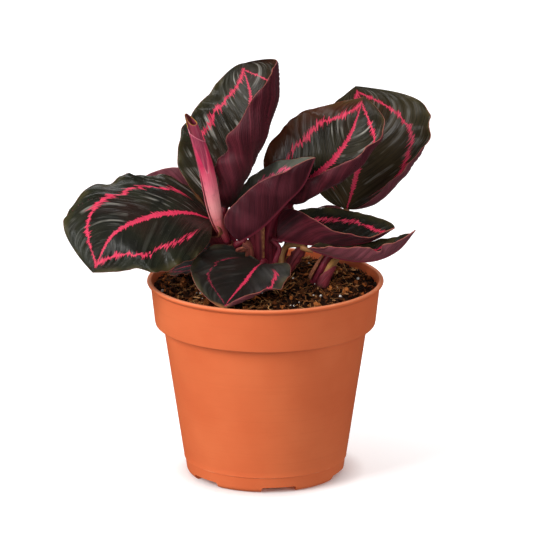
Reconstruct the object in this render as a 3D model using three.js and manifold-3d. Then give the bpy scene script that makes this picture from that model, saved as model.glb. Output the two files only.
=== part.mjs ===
// A potted calathea: a young plant of ring-marked leaves, in soil, in a 12 cm plastic nursery pot.
// Millimetres, +Z up. The origin is the centre of the pot's base and the plant's front faces -Y.
import * as THREE from 'three';
import { mergeVertices } from 'three/addons/utils/BufferGeometryUtils.js';
import Module from 'manifold-3d';

const wasm = await Module();
wasm.setup();

// ---------------------------------------------------------------- driving dimensions

const GAP = 0.3; // clearance between neighbouring pieces

// The pot.
const RIM_RADIUS = 60;
const RIM_TOP = 101.5;
const BEAD_RADIUS = 1.3; // rounded bead round the rim
const LIP = 2.3; // how wide the rim is, seen from above
const COLLAR_BOTTOM = 78.7;
const COLLAR_RADIUS = 56; // at its bottom edge
const COLLAR_TOP_RADIUS = 58.2;
const BODY_RADIUS = 41.6; // at the mould line
const BODY_SLOPE = 0.148; // outward for each millimetre up
const MOULD_LINE = 8.5;
const MOULD_STEP = 0.45;
const FOOT_RADIUS = 37.4; // where the flat base ends and its rounded edge starts
const FOOT_ROUNDING = 3;
const WALL = 1.4;
const FLOOR = 1.5;
const POT_SIDES = 48;

// Six drainage channels under the pot, each with a round hole in its roof.
const CHANNELS = 6;
const CHANNEL_TURN = 10; // degrees of the first one, from the front towards +X
const CHANNEL_WIDTH = 17.7;
const CHANNEL_HEIGHT = 3;
const CHANNEL_START = 24; // distance from the pot's axis
const DRAIN_RADIUS = 4;
const DRAIN_PLACE = 31;

// The soil.
const SOIL_EDGE = 97.4; // height at the pot's wall
const SOIL_RISE = 4.6; // how much higher its middle is
const SOIL_LUMP = 0.7;
const SOIL_RINGS = 7;
const SOIL_SIDES = 32;

// The leaves and stalks.
const BLADE = 0.6; // thickness of a leaf
const SHEATH = 0.7; // thickness of a sheath or bract
const KEEL = 2.5; // width over which a fold rounds into the midrib
const MIDRIB = 0.6; // how far the midrib stands out under the base of a leaf
const STALK_SIDES = 8;
const STALK_TURN = 3; // distance behind a leaf's base where its stalk is in line with the midrib

// Each leaf: the route of its midrib from base to tip, the direction its upper face looks (at the
// base, middle and tip), and its two halves, seen with the tip ahead and the upper face up.
// For each half: its width, where along the leaf it is widest (peak), how round its base and tip are
// (a smaller number is blunter), and in degrees how far it folds up at the midrib and curls on
// towards its edge, again at the base, middle and tip. A wave is [height, count, phase].
const LEAVES = {
  leaf_left: {
    rib: [[-27.5, -6, 134], [-40.5, -12, 139], [-59, -18, 138], [-76, -26, 131], [-86, -34, 114]],
    face: [[-1, -6, 8], [-1, -6.6, 7.5], [-2.5, -8, 4]],
    steady: 0.3,
    left: { width: 30, peak: 0.42, tip: 0.72, fold: [-10, -5, 0], curl: [-25, -15, 5], wave: [0.6, 3, 0.2] },
    right: { width: 33, peak: 0.52, tip: 0.48, fold: [5, 0, -5], curl: [-20, -22, 0], wave: [1, 4, 0.1] },
  },
  leaf_tall: {
    rib: [[-20.5, 4, 137.5], [-14.5, 6, 159], [-8.5, 8, 179.5], [-7.5, 14, 193.5], [-12, 22, 208]],
    face: [[-3.5, -9, 1], [-3.5, -9, 2], [-2.5, -9, 3.5]],
    left: { width: 32, peak: 0.4, tip: 0.7, fold: [15, 10, 5], curl: [20, 10, 0], wave: [0.5, 3, 0] },
    right: {
      width: 42, peak: 0.64, tip: 0.28, fold: [20, 10, 0], curl: [230, 185, 75], power: 1.3,
      wave: [0.6, 3, 0.3],
    },
  },
  leaf_folded: {
    rib: [[-12.5, -12, 124.5], [-1.5, -16, 133], [10, -20, 146], [19, -24, 157], [24.5, -28, 171.5]],
    face: [[-6, 3, 6], [-6, 3.5, 6.5], [-7, 3, 5]],
    left: { width: 29, peak: 0.38, fold: [68, 58, 38], curl: [12, 12, 12], wave: [0.4, 3, 0] },
    right: { width: 20, peak: 0.32, base: 0.27, fold: [60, 50, 30], curl: [40, 40, 30], wave: [0.6, 3, 0.3] },
  },
  leaf_broad: {
    rib: [[12.5, 0, 141.5], [22.5, -4, 154], [34, -5, 164.5], [43, -2, 177.5], [49.5, 8, 194]],
    face: [[0, -8, 5.5], [0, -8.5, 5], [1, -8.5, 4.5]],
    left: { width: 28.5, peak: 0.3, tip: 0.95, fold: [5, 5, 0], curl: [10, 0, -10], wave: [0.4, 3, 0] },
    right: {
      width: 30, peak: 0.5, fold: [15, 10, 0], curl: [210, 160, 40], power: 1.6, wave: [0.5, 4, 0.3],
    },
  },
  leaf_rear_right: {
    rib: [[41.5, 16, 133.5], [45, 16, 146.5], [49, 20, 166], [50, 28, 181.5], [46, 38, 192.5]],
    face: [[1, -8.5, 5], [1.5, -8, 5], [1, -7, 7]],
    left: { width: 28, peak: 0.55, fold: [5, 5, 0], curl: [-10, -10, -10], wave: [0.4, 3, 0] },
    right: {
      width: 40, peak: 0.55, tip: 0.55, fold: [0, 0, 0], curl: [230, 120, -20], power: 2.4,
      wave: [0.6, 3, 0.3],
    },
  },
  leaf_side_upper: {
    rib: [[6.5, -3, 123], [23, -7, 121.5], [38.5, -11, 122], [53.5, -15, 125.5], [64.5, -19, 133]],
    face: [[0, 2, 9.5], [0, 3, 9.5], [0, 3, 9.5]],
    left: { width: 24, peak: 0.3, base: 0.35, fold: [60, 55, 50], curl: [10, 10, 0], wave: [0.4, 3, 0] },
    right: {
      width: 19, peak: 0.22, base: 0.14, tip: 0.8, fold: [95, 30, 10], curl: [20, 10, 0],
      wave: [0.4, 3, 0.3],
    },
  },
  leaf_side_lower: {
    rib: [[22, -15.5, 121.5], [38.5, -20, 117.5], [53.5, -24, 117.5], [66, -28, 124], [74.5, -32, 135.5]],
    face: [[0, 2, 9.5], [0, 3, 9.5], [-4, 3, 8.5]],
    left: { width: 17, peak: 0.68, base: 1.5, fold: [35, 48, 40], curl: [10, 10, 0], wave: [0.4, 3, 0] },
    right: { width: 13, peak: 0.4, fold: [50, 45, 30], curl: [10, 10, 10], wave: [0.4, 3, 0.3] },
  },
  leaf_front: {
    rib: [[-1.5, -14, 113.5], [-5.5, -21, 112], [-10.5, -31.5, 108], [-16.5, -43, 104], [-21, -50, 100]],
    face: [[0, -5, 8.5], [0, -5, 8.5], [0, -5, 8.5]],
    left: {
      width: 21, peak: 0.35, base: 0.12, fold: [15, 10, 0], curl: [30, 20, 160], power: 1.8,
      wave: [0.8, 3, 0.3],
    },
    right: { width: 29, peak: 0.45, base: 0.3, fold: [5, 5, 0], curl: [20, 0, 0], wave: [0.8, 3, 0] },
  },
  leaf_rear_left: {
    rib: [[-25, 10, 126.5], [-33.5, 18, 132.5], [-43.5, 24, 136], [-54, 30, 138], [-65.5, 36, 140.5]],
    face: [[0, 2, 9.5], [0, 3, 9.5], [0, 3, 9.5]],
    left: { width: 20, peak: 0.4, fold: [80, 70, 50], curl: [10, 10, 10], wave: [0.4, 3, 0] },
    right: { width: 20, peak: 0.4, fold: [20, 10, 0], curl: [0, -10, 0], wave: [0.4, 3, 0.3] },
  },
  leaf_ground: {
    rib: [[-24, 7, 109.5], [-31, 9, 107.5], [-38.5, 12, 104.5], [-44.5, 14, 102.5], [-50, 16, 99.5]],
    face: [[0, -3, 9.5], [0, -3, 9.5], [0, -3, 9.5]],
    rows: 9,
    columns: 3,
    left: { width: 10, fold: [10, 10, 10], curl: [0, 0, 0], wave: [0.4, 2, 0] },
    right: { width: 16, fold: [20, 20, 20], curl: [10, 10, 10], wave: [0.4, 2, 0.3] },
  },
  leaf_rear_small: {
    rib: [[13.5, 14, 119], [22, 22, 122], [29, 30, 123], [35.5, 36, 123], [41.5, 42, 122.5]],
    face: [[0, 2, 9.5], [0, 3, 9.5], [0, 3, 9.5]],
    rows: 9,
    columns: 3,
    left: { width: 14, peak: 0.55, fold: [10, 10, 10], curl: [0, 0, 0], wave: [0.4, 2, 0] },
    right: { width: 10, peak: 0.55, fold: [80, 80, 60], curl: [20, 20, 20], wave: [0.4, 2, 0.3] },
  },
  leaf_rear: {
    rib: [[5.5, 14, 117.5], [7.5, 18, 124.5], [6.5, 24, 132], [4, 30, 139], [0, 38, 144]],
    face: [[1, -7, 7], [1, -7, 7], [1, -6, 8]],
    rows: 9,
    columns: 3,
    left: { width: 10, fold: [20, 10, 10], curl: [0, 0, 0], wave: [0.4, 2, 0] },
    right: { width: 8, fold: [20, 10, 10], curl: [10, 10, 0], wave: [0.4, 2, 0.3] },
  },
};

// The furled new leaf: a sheet rolled up on its own route, its outer turn ending lower than its core.
const FURL = {
  route: [[-19.5, -5.5, 122.5], [-25, -10, 137], [-31.5, -14, 162.5], [-39.5, -15.5, 190]],
  turns: 1.7,
  core: 1.2, // radius where the sheet starts
  outer: [3.3, 4, 3], // radius where it ends, at the base, middle and top
  start: -60, // degrees, from the front towards +X
  outerShare: 0.84, // how far up the route the outer edge of the sheet reaches
};

// Each stalk: its route from inside the soil up to the leaf's base, and its radius at the base,
// middle and top. A stalk that names a leaf ends just under that leaf's midrib.
const STALKS = {
  stalk_left: {
    leaf: 'leaf_left',
    route: [[-14.5, 4.5, 94], [-15, 4.5, 105.5], [-19, 4, 117], [-24, 0.5, 128]],
    radius: [2.6, 2.3, 1.6],
  },
  stalk_tall: {
    leaf: 'leaf_tall',
    route: [[-12, 12.5, 94], [-13, 11, 105.5], [-17, 8, 119.5], [-19.5, 6, 129.5]],
    radius: [2.8, 2.3, 1.7],
  },
  stalk_rolled: {
    leaf: 'leaf_rolled',
    route: [[-15.5, -3.5, 94], [-16, -2.5, 107]],
    radius: [2.3, 2.4, 3.2],
  },
  stalk_folded: {
    leaf: 'leaf_folded',
    route: [[-8.5, -2.5, 94], [-8.5, -3, 105], [-9.5, -6, 114], [-11, -9.5, 120]],
    radius: [2.4, 2, 1.5],
  },
  stalk_broad: {
    leaf: 'leaf_broad',
    route: [[0.5, 4, 94], [1, 4, 104], [1.5, 4, 118.5], [3.5, 3, 130.5], [7.5, 1, 137.5]],
    radius: [3.9, 3.8, 1.8],
  },
  stalk_rear_right: {
    leaf: 'leaf_rear_right',
    route: [[30, -14.5, 92], [30.5, -14, 101], [33.5, -12.5, 110.5], [36.5, -5, 114.5], [39.5, 11, 121]],
    radius: [2.2, 2, 2],
  },
  stalk_side_upper: {
    leaf: 'leaf_side_upper',
    route: [[3.5, -7.5, 94], [4, -7, 107.5], [5.5, -6, 113.5], [7, -4, 118.5]],
    radius: [2, 1.5, 1.4],
  },
  stalk_side_lower: {
    leaf: 'leaf_side_lower',
    route: [[8, -0.5, 94], [8, 0, 107], [8.5, 1, 114], [11, 1.5, 118], [17, 0, 119], [20, -6, 119.2]],
    radius: [2, 1.4, 1.2],
  },
  stalk_front: {
    leaf: 'leaf_front',
    route: [[0, -4.5, 94], [0, -5, 104]],
    radius: [1.8, 1.6, 1.4],
  },
  stalk_rear_left: {
    leaf: 'leaf_rear_left',
    route: [[-18, 16, 94], [-18, 15, 104.5], [-20, 12, 114.5], [-23, 10, 122]],
    radius: [2.2, 1.9, 1.5],
  },
  stalk_ground: {
    leaf: 'leaf_ground',
    route: [[-20.5, 7, 94], [-20.5, 7, 106]],
    radius: [1.8, 1.6, 1.2],
  },
  stalk_rear_small: {
    leaf: 'leaf_rear_small',
    route: [[8.5, 14, 94], [8.5, 14, 106], [10, 14, 112]],
    radius: [1.8, 1.6, 1.3],
  },
  stalk_rear: {
    leaf: 'leaf_rear',
    route: [[3.5, 13, 94], [3.5, 13, 106], [4.5, 13, 112]],
    radius: [1.8, 1.6, 1.3],
  },
  shoot_furled: {
    route: [[26, -7, 92], [27, -7, 101], [29, -7.5, 108], [32, -8, 116]],
    radius: [2.7, 2.3, 1.4],
  },
};

// Each sheath or bract: part of a tube round a stalk, between two shares of the stalk's length, with
// its radius at the bottom and top, and its bottom and top widths as an angle. "Looks" is the
// direction its back faces, in degrees from the front towards +X.
const SHEATHS = {
  sheath_broad: {
    round: 'stalk_broad', from: 0.2, to: 0.62, radius: [7.3, 4.6], span: [90, 30], looks: -60,
  },
  sheath_rolled: {
    round: 'stalk_rolled', from: 0.34, to: 0.93, radius: [3.2, 4.3], span: [230, 60], looks: 40,
  },
  sheath_folded: {
    round: 'stalk_folded', from: 0.34, to: 0.8, radius: [3.3, 2.9], span: [150, 50], looks: 60,
  },
  sheath_rear_right: {
    round: 'stalk_rear_right', from: 0.17, to: 0.38, radius: [3.1, 3.1], span: [320, 150], looks: -30,
  },
  bract_shoot: {
    round: 'shoot_furled', from: 0.42, to: 0.97, radius: [4.4, 2.9], span: [90, 20], looks: -50,
  },
};

// A loose sheath that stands on its own beside the stalks.
const LOOSE_SHEATH = {
  rib: [[12, -5, 103.5], [13.5, -5, 108.5], [15.5, -4, 113], [18, -2, 116], [20.5, 0, 117.5]],
  face: [[5, 6, 4], [5, 6, 4], [5, 6, 4]],
  rows: 8,
  columns: 2,
  left: { width: 4, base: 0.3, fold: [40, 40, 30], curl: [40, 40, 30], wave: [0, 0, 0] },
  right: { width: 4, base: 0.3, fold: [40, 40, 30], curl: [40, 40, 30], wave: [0, 0, 0] },
};

// ---------------------------------------------------------------- materials

function material(color, roughness) {
  return new THREE.MeshStandardMaterial({ color, roughness, metalness: 0 });
}

const POT_ORANGE = 0xd4683a;
const SOIL_BROWN = 0x3b281c;
const LEAF_GREEN = 0x2c332b;
const STALK_CRIMSON = 0x7d2438;
const SHEATH_PURPLE = 0x6a2a3a;
const FURL_PINK = 0xc45a78;

// ---------------------------------------------------------------- small maths

const radians = THREE.MathUtils.degToRad;

/** A smooth value through three given ones, at the start, middle and end. */
function blend([start, middle, end], t) {
  return start * (1 - t) * (1 - 2 * t) + middle * 4 * t * (1 - t) + end * t * (2 * t - 1);
}

/** A direction through three given ones. */
function blendDirection(directions, t) {
  const parts = [0, 1, 2].map((axis) => blend(directions.map((direction) => direction[axis]), t));
  return new THREE.Vector3(...parts).normalize();
}

function curveThrough(points) {
  const vectors = points.map((point) => new THREE.Vector3(...point));
  return new THREE.CatmullRomCurve3(vectors, false, 'catmullrom', 0.5);
}

/** The part of a direction that is square to an axis. */
function squareTo(direction, axis) {
  return direction.clone().addScaledVector(axis, -direction.dot(axis)).normalize();
}

// ---------------------------------------------------------------- solids

function weld(geometry) {
  const bare = geometry.clone();
  bare.deleteAttribute('normal');
  bare.deleteAttribute('uv');
  return mergeVertices(bare, 1e-4);
}

/**
 * A closed body through a row of rings with the same number of points. The first half of a ring runs
 * along the body's front face and the second half back along its other face. Both faces are split
 * into triangles alike, and a ring may shrink to a single edge.
 */
function loft(rings) {
  const count = rings[0].length;
  const half = count / 2;
  const index = [];
  const at = (row, k) => row * count + (k % count);
  for (let row = 0; row < rings.length - 1; row += 1) {
    for (let k = 0; k < count; k += 1) {
      const a = at(row, k);
      const b = at(row, k + 1);
      const c = at(row + 1, k + 1);
      const d = at(row + 1, k);
      if (k < half) index.push(a, b, c, a, c, d);
      else index.push(a, b, d, b, c, d);
    }
  }
  const last = rings.length - 1;
  for (let k = 0; k < half - 1; k += 1) {
    const across = count - 1 - k;
    index.push(at(0, k), at(0, across - 1), at(0, k + 1));
    index.push(at(0, k), at(0, across), at(0, across - 1));
    index.push(at(last, k), at(last, k + 1), at(last, across - 1));
    index.push(at(last, k), at(last, across - 1), at(last, across));
  }
  const geometry = new THREE.BufferGeometry().setFromPoints(rings.flat());
  geometry.setIndex(index);
  return facingOut(weld(geometry));
}

/** The same body without empty triangles and with its faces pointing out. */
function facingOut(geometry) {
  const points = geometry.getAttribute('position');
  const corner = (n) => new THREE.Vector3().fromBufferAttribute(points, n);
  const triangles = [];
  let volume = 0;
  for (let n = 0; n < geometry.index.count; n += 3) {
    const [a, b, c] = [0, 1, 2].map((k) => geometry.index.getX(n + k));
    if (a !== b && b !== c && a !== c) {
      triangles.push([a, b, c]);
      volume += corner(a).dot(corner(b).cross(corner(c)));
    }
  }
  geometry.setIndex(triangles.flatMap(([a, b, c]) => (volume > 0 ? [a, b, c] : [a, c, b])));
  return geometry;
}

function solid(geometry) {
  const welded = weld(geometry);
  return new wasm.Manifold(new wasm.Mesh({
    numProp: 3,
    vertProperties: new Float32Array(welded.getAttribute('position').array),
    triVerts: new Uint32Array(welded.index.array),
  }));
}

function geometryOf(body) {
  const { vertProperties, triVerts } = body.getMesh();
  const geometry = new THREE.BufferGeometry();
  geometry.setAttribute('position', new THREE.BufferAttribute(new Float32Array(vertProperties), 3));
  geometry.setIndex(new THREE.BufferAttribute(new Uint32Array(triVerts), 1));
  return geometry;
}

/** A solid of revolution from [radius, height] points that start and end on the axis. */
function turned(profile, sides) {
  const geometry = new THREE.LatheGeometry(profile.map(([r, z]) => new THREE.Vector2(r, z)), sides);
  return geometry.rotateX(Math.PI / 2);
}

/** A box that lies outward from the pot's axis, turned to a given angle from the front. */
function radialBox(width, [start, end], [bottom, top], degrees) {
  const box = new THREE.BoxGeometry(width, end - start, top - bottom);
  box.translate(0, -(start + end) / 2, (bottom + top) / 2);
  return box.rotateZ(radians(degrees));
}

// ---------------------------------------------------------------- pot

function arc([r, z], radius, from, to, steps) {
  return Array.from({ length: steps + 1 }, (_, step) => {
    const angle = radians(from + (to - from) * step / steps);
    return [r + radius * Math.cos(angle), z + radius * Math.sin(angle)];
  });
}

const bodyRadius = (height) => BODY_RADIUS + BODY_SLOPE * (height - MOULD_LINE);

const outsideProfile = [
  [0, 0],
  ...arc([FOOT_RADIUS, FOOT_ROUNDING], FOOT_ROUNDING, -90, 0, 4),
  [bodyRadius(MOULD_LINE) - MOULD_STEP, MOULD_LINE - 0.2],
  [bodyRadius(MOULD_LINE), MOULD_LINE + 0.2],
  [bodyRadius(COLLAR_BOTTOM), COLLAR_BOTTOM],
  [COLLAR_RADIUS - 0.4, COLLAR_BOTTOM],
  [COLLAR_RADIUS, COLLAR_BOTTOM + 0.4],
  [COLLAR_TOP_RADIUS, RIM_TOP - 2.5 * BEAD_RADIUS],
  ...arc([RIM_RADIUS - BEAD_RADIUS, RIM_TOP - BEAD_RADIUS], BEAD_RADIUS, -60, 90, 5),
  [0, RIM_TOP],
];

/** The pot's inside up to its rim, moved inward by a gap. */
function insideProfile(gap) {
  return [
    [0, FLOOR + gap],
    [FOOT_RADIUS + 1.2 - gap, FLOOR + gap],
    [bodyRadius(FOOT_ROUNDING) - MOULD_STEP - WALL - gap, FOOT_ROUNDING + gap],
    [bodyRadius(COLLAR_BOTTOM) - WALL - gap, COLLAR_BOTTOM + gap],
    [bodyRadius(COLLAR_BOTTOM) - 0.9 - gap, COLLAR_BOTTOM + 1.3 + gap],
    [COLLAR_RADIUS - WALL - gap, COLLAR_BOTTOM + 1.4 + gap],
  ];
}

const channelAngles = Array.from({ length: CHANNELS }, (_, n) => CHANNEL_TURN + (n * 360) / CHANNELS);

/** The raised roof over a channel, as it stands inside the pot, grown by a gap. */
function channelRoof(degrees, gap) {
  const width = CHANNEL_WIDTH + 2 * WALL + 2 * gap;
  const reach = [CHANNEL_START - WALL - gap, RIM_RADIUS];
  return solid(radialBox(width, reach, [FLOOR / 2, CHANNEL_HEIGHT + FLOOR + gap], degrees));
}

function channelCut(degrees) {
  const channel = solid(radialBox(CHANNEL_WIDTH, [CHANNEL_START, RIM_RADIUS], [-1, CHANNEL_HEIGHT], degrees));
  const drill = new THREE.CylinderGeometry(DRAIN_RADIUS, DRAIN_RADIUS, 4 * FLOOR, 16).rotateX(Math.PI / 2);
  drill.translate(0, -DRAIN_PLACE, CHANNEL_HEIGHT).rotateZ(radians(degrees));
  return channel.add(solid(drill));
}

function makePot() {
  const outside = solid(turned(outsideProfile, POT_SIDES));
  const lip = RIM_RADIUS - LIP;
  const opening = [[COLLAR_TOP_RADIUS - WALL, RIM_TOP - 3], [lip, RIM_TOP - 0.5], [lip, RIM_TOP + 1]];
  const cavity = solid(turned([...insideProfile(0), ...opening, [0, RIM_TOP + 1]], POT_SIDES));
  let pot = outside.subtract(cavity);
  for (const degrees of channelAngles) pot = pot.add(channelRoof(degrees, 0).intersect(outside));
  for (const degrees of channelAngles) pot = pot.subtract(channelCut(degrees));
  return geometryOf(pot);
}

// ---------------------------------------------------------------- soil

/** Height of the soil's top, with low lumps that fade towards the pot's wall. */
function soilHeight(x, y) {
  const share = Math.hypot(x, y) / COLLAR_TOP_RADIUS;
  const broad = Math.sin(0.31 * x + 1.3) * Math.cos(0.27 * y);
  const fine = Math.sin(0.5 * x - 0.4 * y) + Math.cos(0.62 * y + 0.3 * x);
  return SOIL_EDGE + SOIL_RISE * (1 - share * share) + SOIL_LUMP * (broad + fine) * (1 - 0.5 * share);
}

function makeSoil(holes) {
  const edge = COLLAR_TOP_RADIUS - WALL - GAP - 0.2;
  const rings = Array.from({ length: SOIL_RINGS + 1 }, (_, n) => [edge * (1 - n / SOIL_RINGS), SOIL_EDGE]);
  const shape = weld(turned([...insideProfile(GAP), ...rings], SOIL_SIDES));
  const points = shape.getAttribute('position');
  for (let n = 0; n < points.count; n += 1) {
    if (points.getZ(n) > SOIL_EDGE - 0.1) points.setZ(n, soilHeight(points.getX(n), points.getY(n)));
  }
  let soil = solid(shape);
  for (const degrees of channelAngles) soil = soil.subtract(channelRoof(degrees, GAP));
  for (const hole of holes) soil = soil.subtract(hole);
  return geometryOf(soil);
}

// ---------------------------------------------------------------- leaf blades

/** Half width of a leaf at a share of its length, as a share of the widest. */
function halfWidth(u, { peak = 0.45, base = 0.5, tip = 0.62 }) {
  if (u < peak) return (1 - (1 - u / peak) ** 2) ** base;
  return (1 - ((u - peak) / (1 - peak)) ** 2) ** tip;
}

/**
 * Points of one half of a cross section, from the midrib out: offset from the midrib along the side
 * and up directions, and the slope there. The half leaves the midrib folded up and curls on.
 */
function halfSection(half, u, columns) {
  const steps = 8;
  const width = Math.max(half.width * halfWidth(u, half), 0.5);
  const fold = radians(blend(half.fold, u));
  const curl = radians(blend(half.curl, u));
  const power = half.power ?? 1.5;
  const slopeAt = (share) => fold * (1 - Math.exp(-share * width / KEEL)) + curl * share ** power;
  const [height, count, phase] = half.wave;
  const wave = height * Math.sin(2 * Math.PI * (count * u + phase)) * Math.sqrt(Math.sin(Math.PI * u));
  const section = [{ out: 0, up: 0, slope: 0 }];
  let out = 0;
  let up = 0;
  for (let step = 0; step < columns * steps; step += 1) {
    const slope = slopeAt((step + 0.5) / (columns * steps));
    out += Math.cos(slope) * width / (columns * steps);
    up += Math.sin(slope) * width / (columns * steps);
    if ((step + 1) % steps === 0) {
      const share = (step + 1) / (columns * steps);
      const edge = slopeAt(share);
      const lift = wave * share * share;
      section.push({ out: out - Math.sin(edge) * lift, up: up + Math.cos(edge) * lift, slope: edge });
    }
  }
  return section;
}

function makeBlade({ rib, face, left, right, steady = 0.5, rows = 13, columns = 5 }) {
  const route = curveThrough(rib);
  const chord = new THREE.Vector3(...rib.at(-1)).sub(new THREE.Vector3(...rib[0])).normalize();
  const rings = [];
  for (let row = 0; row <= rows; row += 1) {
    const t = row / rows;
    const u = 0.35 * t + 0.65 * (0.5 - 0.5 * Math.cos(Math.PI * t));
    const centre = route.getPointAt(u);
    const ahead = route.getTangentAt(u).lerp(chord, steady).normalize();
    const up = squareTo(blendDirection(face, u), ahead);
    const side = ahead.clone().cross(up);
    const relief = BLADE / 2 + MIDRIB * (1 - u);
    if (row === 0 || row === rows) {
      const top = centre.clone().addScaledVector(up, BLADE / 2);
      const bottom = centre.clone().addScaledVector(up, -relief);
      rings.push([...Array(2 * columns + 1).fill(top), ...Array(2 * columns + 1).fill(bottom)]);
    } else {
      const section = [
        ...halfSection(left, u, columns).slice(1).reverse().map((point) => ({ ...point, hand: -1 })),
        { out: 0, up: 0, slope: 0, hand: 0 },
        ...halfSection(right, u, columns).slice(1).map((point) => ({ ...point, hand: 1 })),
      ];
      const face = (offset) => section.map(({ out, up: rise, slope, hand }) => {
        const thickness = hand === 0 && offset < 0 ? -relief : offset;
        return centre.clone()
          .addScaledVector(side, hand * (out - thickness * Math.sin(slope)))
          .addScaledVector(up, rise + thickness * Math.cos(slope));
      });
      rings.push([...face(BLADE / 2), ...face(-BLADE / 2).reverse()]);
    }
  }
  return loft(rings);
}

// ---------------------------------------------------------------- stalks, sheaths and the furled leaf

/** The front and right-hand directions round a route. */
function frameAt(route, t) {
  const ahead = route.getTangentAt(t);
  const front = squareTo(new THREE.Vector3(0, -1, 0), ahead);
  const right = ahead.clone().cross(front);
  return { centre: route.getPointAt(t), front, right };
}

function around({ centre, front, right }, radius, angle) {
  return centre.clone()
    .addScaledVector(front, radius * Math.cos(angle))
    .addScaledVector(right, radius * Math.sin(angle));
}

/** The route of a stalk, which meets its leaf's midrib end to end. */
function stalkRoute({ leaf, route }) {
  if (!leaf) return curveThrough(route);
  const midrib = curveThrough(leaf === 'leaf_rolled' ? FURL.route : LEAVES[leaf].rib);
  const behind = (distance) => {
    const point = midrib.getPointAt(0).addScaledVector(midrib.getTangentAt(0), -distance);
    return point.toArray();
  };
  return curveThrough([...route, behind(STALK_TURN), behind(2 * GAP)]);
}

function makeStalk(stalk, grow = 0) {
  const route = stalkRoute(stalk);
  const rows = 2 * stalk.route.length + 1;
  const rings = [];
  for (let row = 0; row <= rows; row += 1) {
    const t = row / rows;
    const frame = frameAt(route, t);
    const radius = blend(stalk.radius, t) + grow;
    if (row === 0) frame.centre.z -= grow;
    const corner = (_, k) => around(frame, radius, (2 * Math.PI * k) / STALK_SIDES);
    rings.push(Array.from({ length: STALK_SIDES }, corner));
  }
  return loft(rings);
}

function makeSheath({ round, from, to, radius, span, looks }) {
  const route = stalkRoute(STALKS[round]);
  const rows = 5;
  const columns = 6;
  const rings = [];
  for (let row = 0; row <= rows; row += 1) {
    const share = row / rows;
    const frame = frameAt(route, from + (to - from) * share);
    const middle = THREE.MathUtils.lerp(...radius, share);
    const sweep = radians(THREE.MathUtils.lerp(...span, share * share));
    const start = radians(looks) - sweep / 2;
    const line = (distance) => Array.from(
      { length: columns + 1 },
      (_, k) => around(frame, distance, start + (sweep * k) / columns),
    );
    rings.push([...line(middle + SHEATH / 2), ...line(middle - SHEATH / 2).reverse()]);
  }
  return loft(rings);
}

function makeFurl({ route: points, turns, core, outer, start, outerShare }) {
  const route = curveThrough(points);
  const rows = 8;
  const columns = 14;
  const rings = [];
  for (let row = 0; row <= rows; row += 1) {
    const line = (offset) => Array.from({ length: columns + 1 }, (_, k) => {
      const share = k / columns;
      const t = (row / rows) * THREE.MathUtils.lerp(1, outerShare, share);
      const radius = THREE.MathUtils.lerp(core, blend(outer, t), share) + offset;
      return around(frameAt(route, t), radius, radians(start + 360 * turns * share));
    });
    rings.push([...line(BLADE / 2), ...line(-BLADE / 2).reverse()]);
  }
  return loft(rings);
}

// ---------------------------------------------------------------- the plant in its pot

const plant = new THREE.Group();

function place(name, geometry, color, roughness) {
  geometry.computeVertexNormals();
  const piece = new THREE.Mesh(geometry, material(color, roughness));
  piece.name = name;
  plant.add(piece);
}

place('pot', makePot(), POT_ORANGE, 0.45);
const holes = Object.values(STALKS).map((stalk) => solid(makeStalk(stalk, GAP)));
place('soil', makeSoil(holes), SOIL_BROWN, 0.95);
for (const [name, leaf] of Object.entries(LEAVES)) place(name, makeBlade(leaf), LEAF_GREEN, 0.4);
place('leaf_rolled', makeFurl(FURL), FURL_PINK, 0.45);
for (const [name, stalk] of Object.entries(STALKS)) place(name, makeStalk(stalk), STALK_CRIMSON, 0.45);
for (const [name, sheath] of Object.entries(SHEATHS)) place(name, makeSheath(sheath), SHEATH_PURPLE, 0.6);
place('sheath_loose', makeBlade(LOOSE_SHEATH), SHEATH_PURPLE, 0.6);

export default plant;
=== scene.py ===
# %% [markdown]
# # A potted calathea
#
# The plant is a young calathea in a 12 cm nursery pot. Its leaves are nearly black, with a ring and
# a midrib of vivid pink, and burgundy undersides. Everything here is built in metres around the
# solid model of the same plant. Most finer pieces take the place of one of its solids, and the rest,
# such as the crumbs of soil, lie on one.

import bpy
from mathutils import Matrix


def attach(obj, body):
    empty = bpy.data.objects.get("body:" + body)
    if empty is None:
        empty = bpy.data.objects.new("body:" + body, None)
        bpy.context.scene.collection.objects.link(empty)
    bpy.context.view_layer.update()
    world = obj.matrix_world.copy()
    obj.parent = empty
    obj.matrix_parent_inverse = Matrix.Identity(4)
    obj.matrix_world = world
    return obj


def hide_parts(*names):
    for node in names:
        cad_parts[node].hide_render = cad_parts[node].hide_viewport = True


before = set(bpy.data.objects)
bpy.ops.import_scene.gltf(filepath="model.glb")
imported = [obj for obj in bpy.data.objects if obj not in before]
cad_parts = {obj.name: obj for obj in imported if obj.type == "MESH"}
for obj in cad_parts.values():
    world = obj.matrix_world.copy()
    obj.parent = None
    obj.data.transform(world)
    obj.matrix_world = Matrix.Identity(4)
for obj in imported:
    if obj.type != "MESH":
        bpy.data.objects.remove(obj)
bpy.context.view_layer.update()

# %% [markdown]
# ## Camera
#
# A product photographer stands well back with a long lens, so that a tall leaf and the pot below it
# keep their true proportions. The camera looks down by a little more than fifteen degrees. Leaves
# are measured in millimetres, so one small function turns millimetres into Blender's metres.

# %% The camera
import math

import bmesh
import bpy
import numpy as np
from mathutils import Matrix, Vector, noise

MM = 0.001
CAMERA_DISTANCE = 2000  # millimetres
CAMERA_PITCH = 15.6  # degrees down from level
CAMERA_TARGET = (0.6, 0, 107.6)
LENS = 266.6  # focal length in millimetres
FARTHEST_VIEW = 20  # metres


def metres(point):
    """A point in millimetres as a vector in metres."""
    return Vector([float(value) * MM for value in point])


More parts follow.
